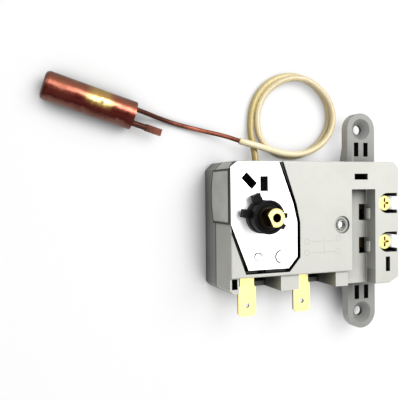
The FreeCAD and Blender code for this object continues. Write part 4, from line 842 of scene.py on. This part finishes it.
for number, (foot, head) in enumerate(ridge["y"], 1):
    makeRidge(number, foot, head)
print("stage: window ridges")

# table, light and sky, in metres
stageLook = {
    "tableSize": 3.0,
    "tableLevel": -0.0002,
    "table": (250, 250, 250),
    "bounce": (182, 182, 180),  # how the table lights the part from below
    "glow": 0.76,
    "contact": 0.007,  # reach of the painted contact shadow where the part touches the table
    "contactTone": (0.3, 0.3, 0.3),
    "shadow": 0.015,  # reach of the soft shadow to the left of the part and below it
    "lean": (0.56, 0.56, 0.61),
    "shadowRange": (0.24, 0.94),
    "shadowTone": (0.05, 0.05, 0.05),
    "brightX": (-0.035, -0.022),  # to the right of this and above the next the painted shadow is left out and the table stays bright
    "brightY": (0.012, 0.0205),
    "key": {"place": (0.15, 0.17, 0.38), "size": 0.28, "power": 1.65},
    "fill": {"place": (-0.10, -0.20, 0.38), "size": 0.35, "power": 0.35},
    "aim": (0, 0.01, 0),
    "sky": 0.34,
    "mirrored": 1.3,  # how bright the room looks in polished metal
}


def addLamp(name, place, size, power):
    data = bpy.data.lights.new(name, "AREA")
    data.shape = "DISK"
    data.size = size
    data.energy = power
    lamp = bpy.data.objects.new(name, data)
    lamp.location = place
    aim = Vector(stageLook["aim"]) - Vector(place)
    lamp.rotation_euler = aim.to_track_quat("-Z", "Y").to_euler()
    bpy.context.collection.objects.link(lamp)


def tableShade(paint):
    white = (1.0, 1.0, 1.0)
    contact = paint.paintedShade(white, stageLook["contact"], 0.0, 0.9, stageLook["contactTone"])
    values = {"Distance": stageLook["shadow"], "Normal": stageLook["lean"]}
    around = paint.node("ShaderNodeAmbientOcclusion", {"samples": 16}, values, "AO")
    x, y = paint.parts(paint.place())[:2]
    bright = paint.smooth(x, *stageLook["brightX"]) * paint.smooth(y, *stageLook["brightY"])
    shade = (1 - paint.smooth(around, *stageLook["shadowRange"])) * (1 - bright)
    return paint.mix(shade, contact, stageLook["shadowTone"])


def addTable():
    bm = bmesh.new()
    bmesh.ops.create_grid(bm, x_segments=2, y_segments=2, size=stageLook["tableSize"])
    table = finishMesh(bm, "table", False)
    table.location = (0, 0, stageLook["tableLevel"])
    paint = Paint("table white")
    seen = paint.node("ShaderNodeLightPath", out="Is Camera Ray")
    glossy, through = paint.outs(seen, "Is Glossy Ray", "Is Transmission Ray")
    clamped = {"operation": "ADD", "use_clamp": True}
    share = paint.node("ShaderNodeMath", clamped, {0: seen + glossy, 1: through})
    tone = paint.mix(share, lin(*stageLook["bounce"]), lin(*stageLook["table"]))
    paint.surface(Base_Color=tone, Roughness=0.9)
    lit = Sock(paint, paint.shader.outputs[0])
    glow = paint.node("ShaderNodeEmission", None, {"Color": tableShade(paint), "Strength": 1.0})
    both = paint.node("ShaderNodeMixShader", None, {0: share * stageLook["glow"], 1: lit, 2: glow})
    paint.put(paint.output.inputs["Surface"], both)
    table.data.materials.append(paint.material)


def addSky():
    sky = bpy.data.worlds.new("sky")
    bpy.context.scene.world = sky
    paint = Paint("sky", sky)
    seen = paint.node("ShaderNodeLightPath", out="Is Camera Ray")
    mirrored = paint.larger(seen, *paint.outs(seen, "Is Glossy Ray"))
    paint.surface(Color=(1.0, 1.0, 1.0), Strength=stageLook["sky"])
    dim = Sock(paint, paint.shader.outputs[0])
    values = {"Color": (1.0, 1.0, 1.0), "Strength": stageLook["mirrored"]}
    bright = paint.node("ShaderNodeBackground", None, values)
    both = paint.node("ShaderNodeMixShader", None, {0: mirrored, 1: dim, 2: bright})
    paint.put(paint.output.inputs["Surface"], both)


addTable()
addLamp("key", **stageLook["key"])
addLamp("fill", **stageLook["fill"])
addSky()
bpy.context.scene.view_settings.view_transform = "Standard"
print("stage: table and light")
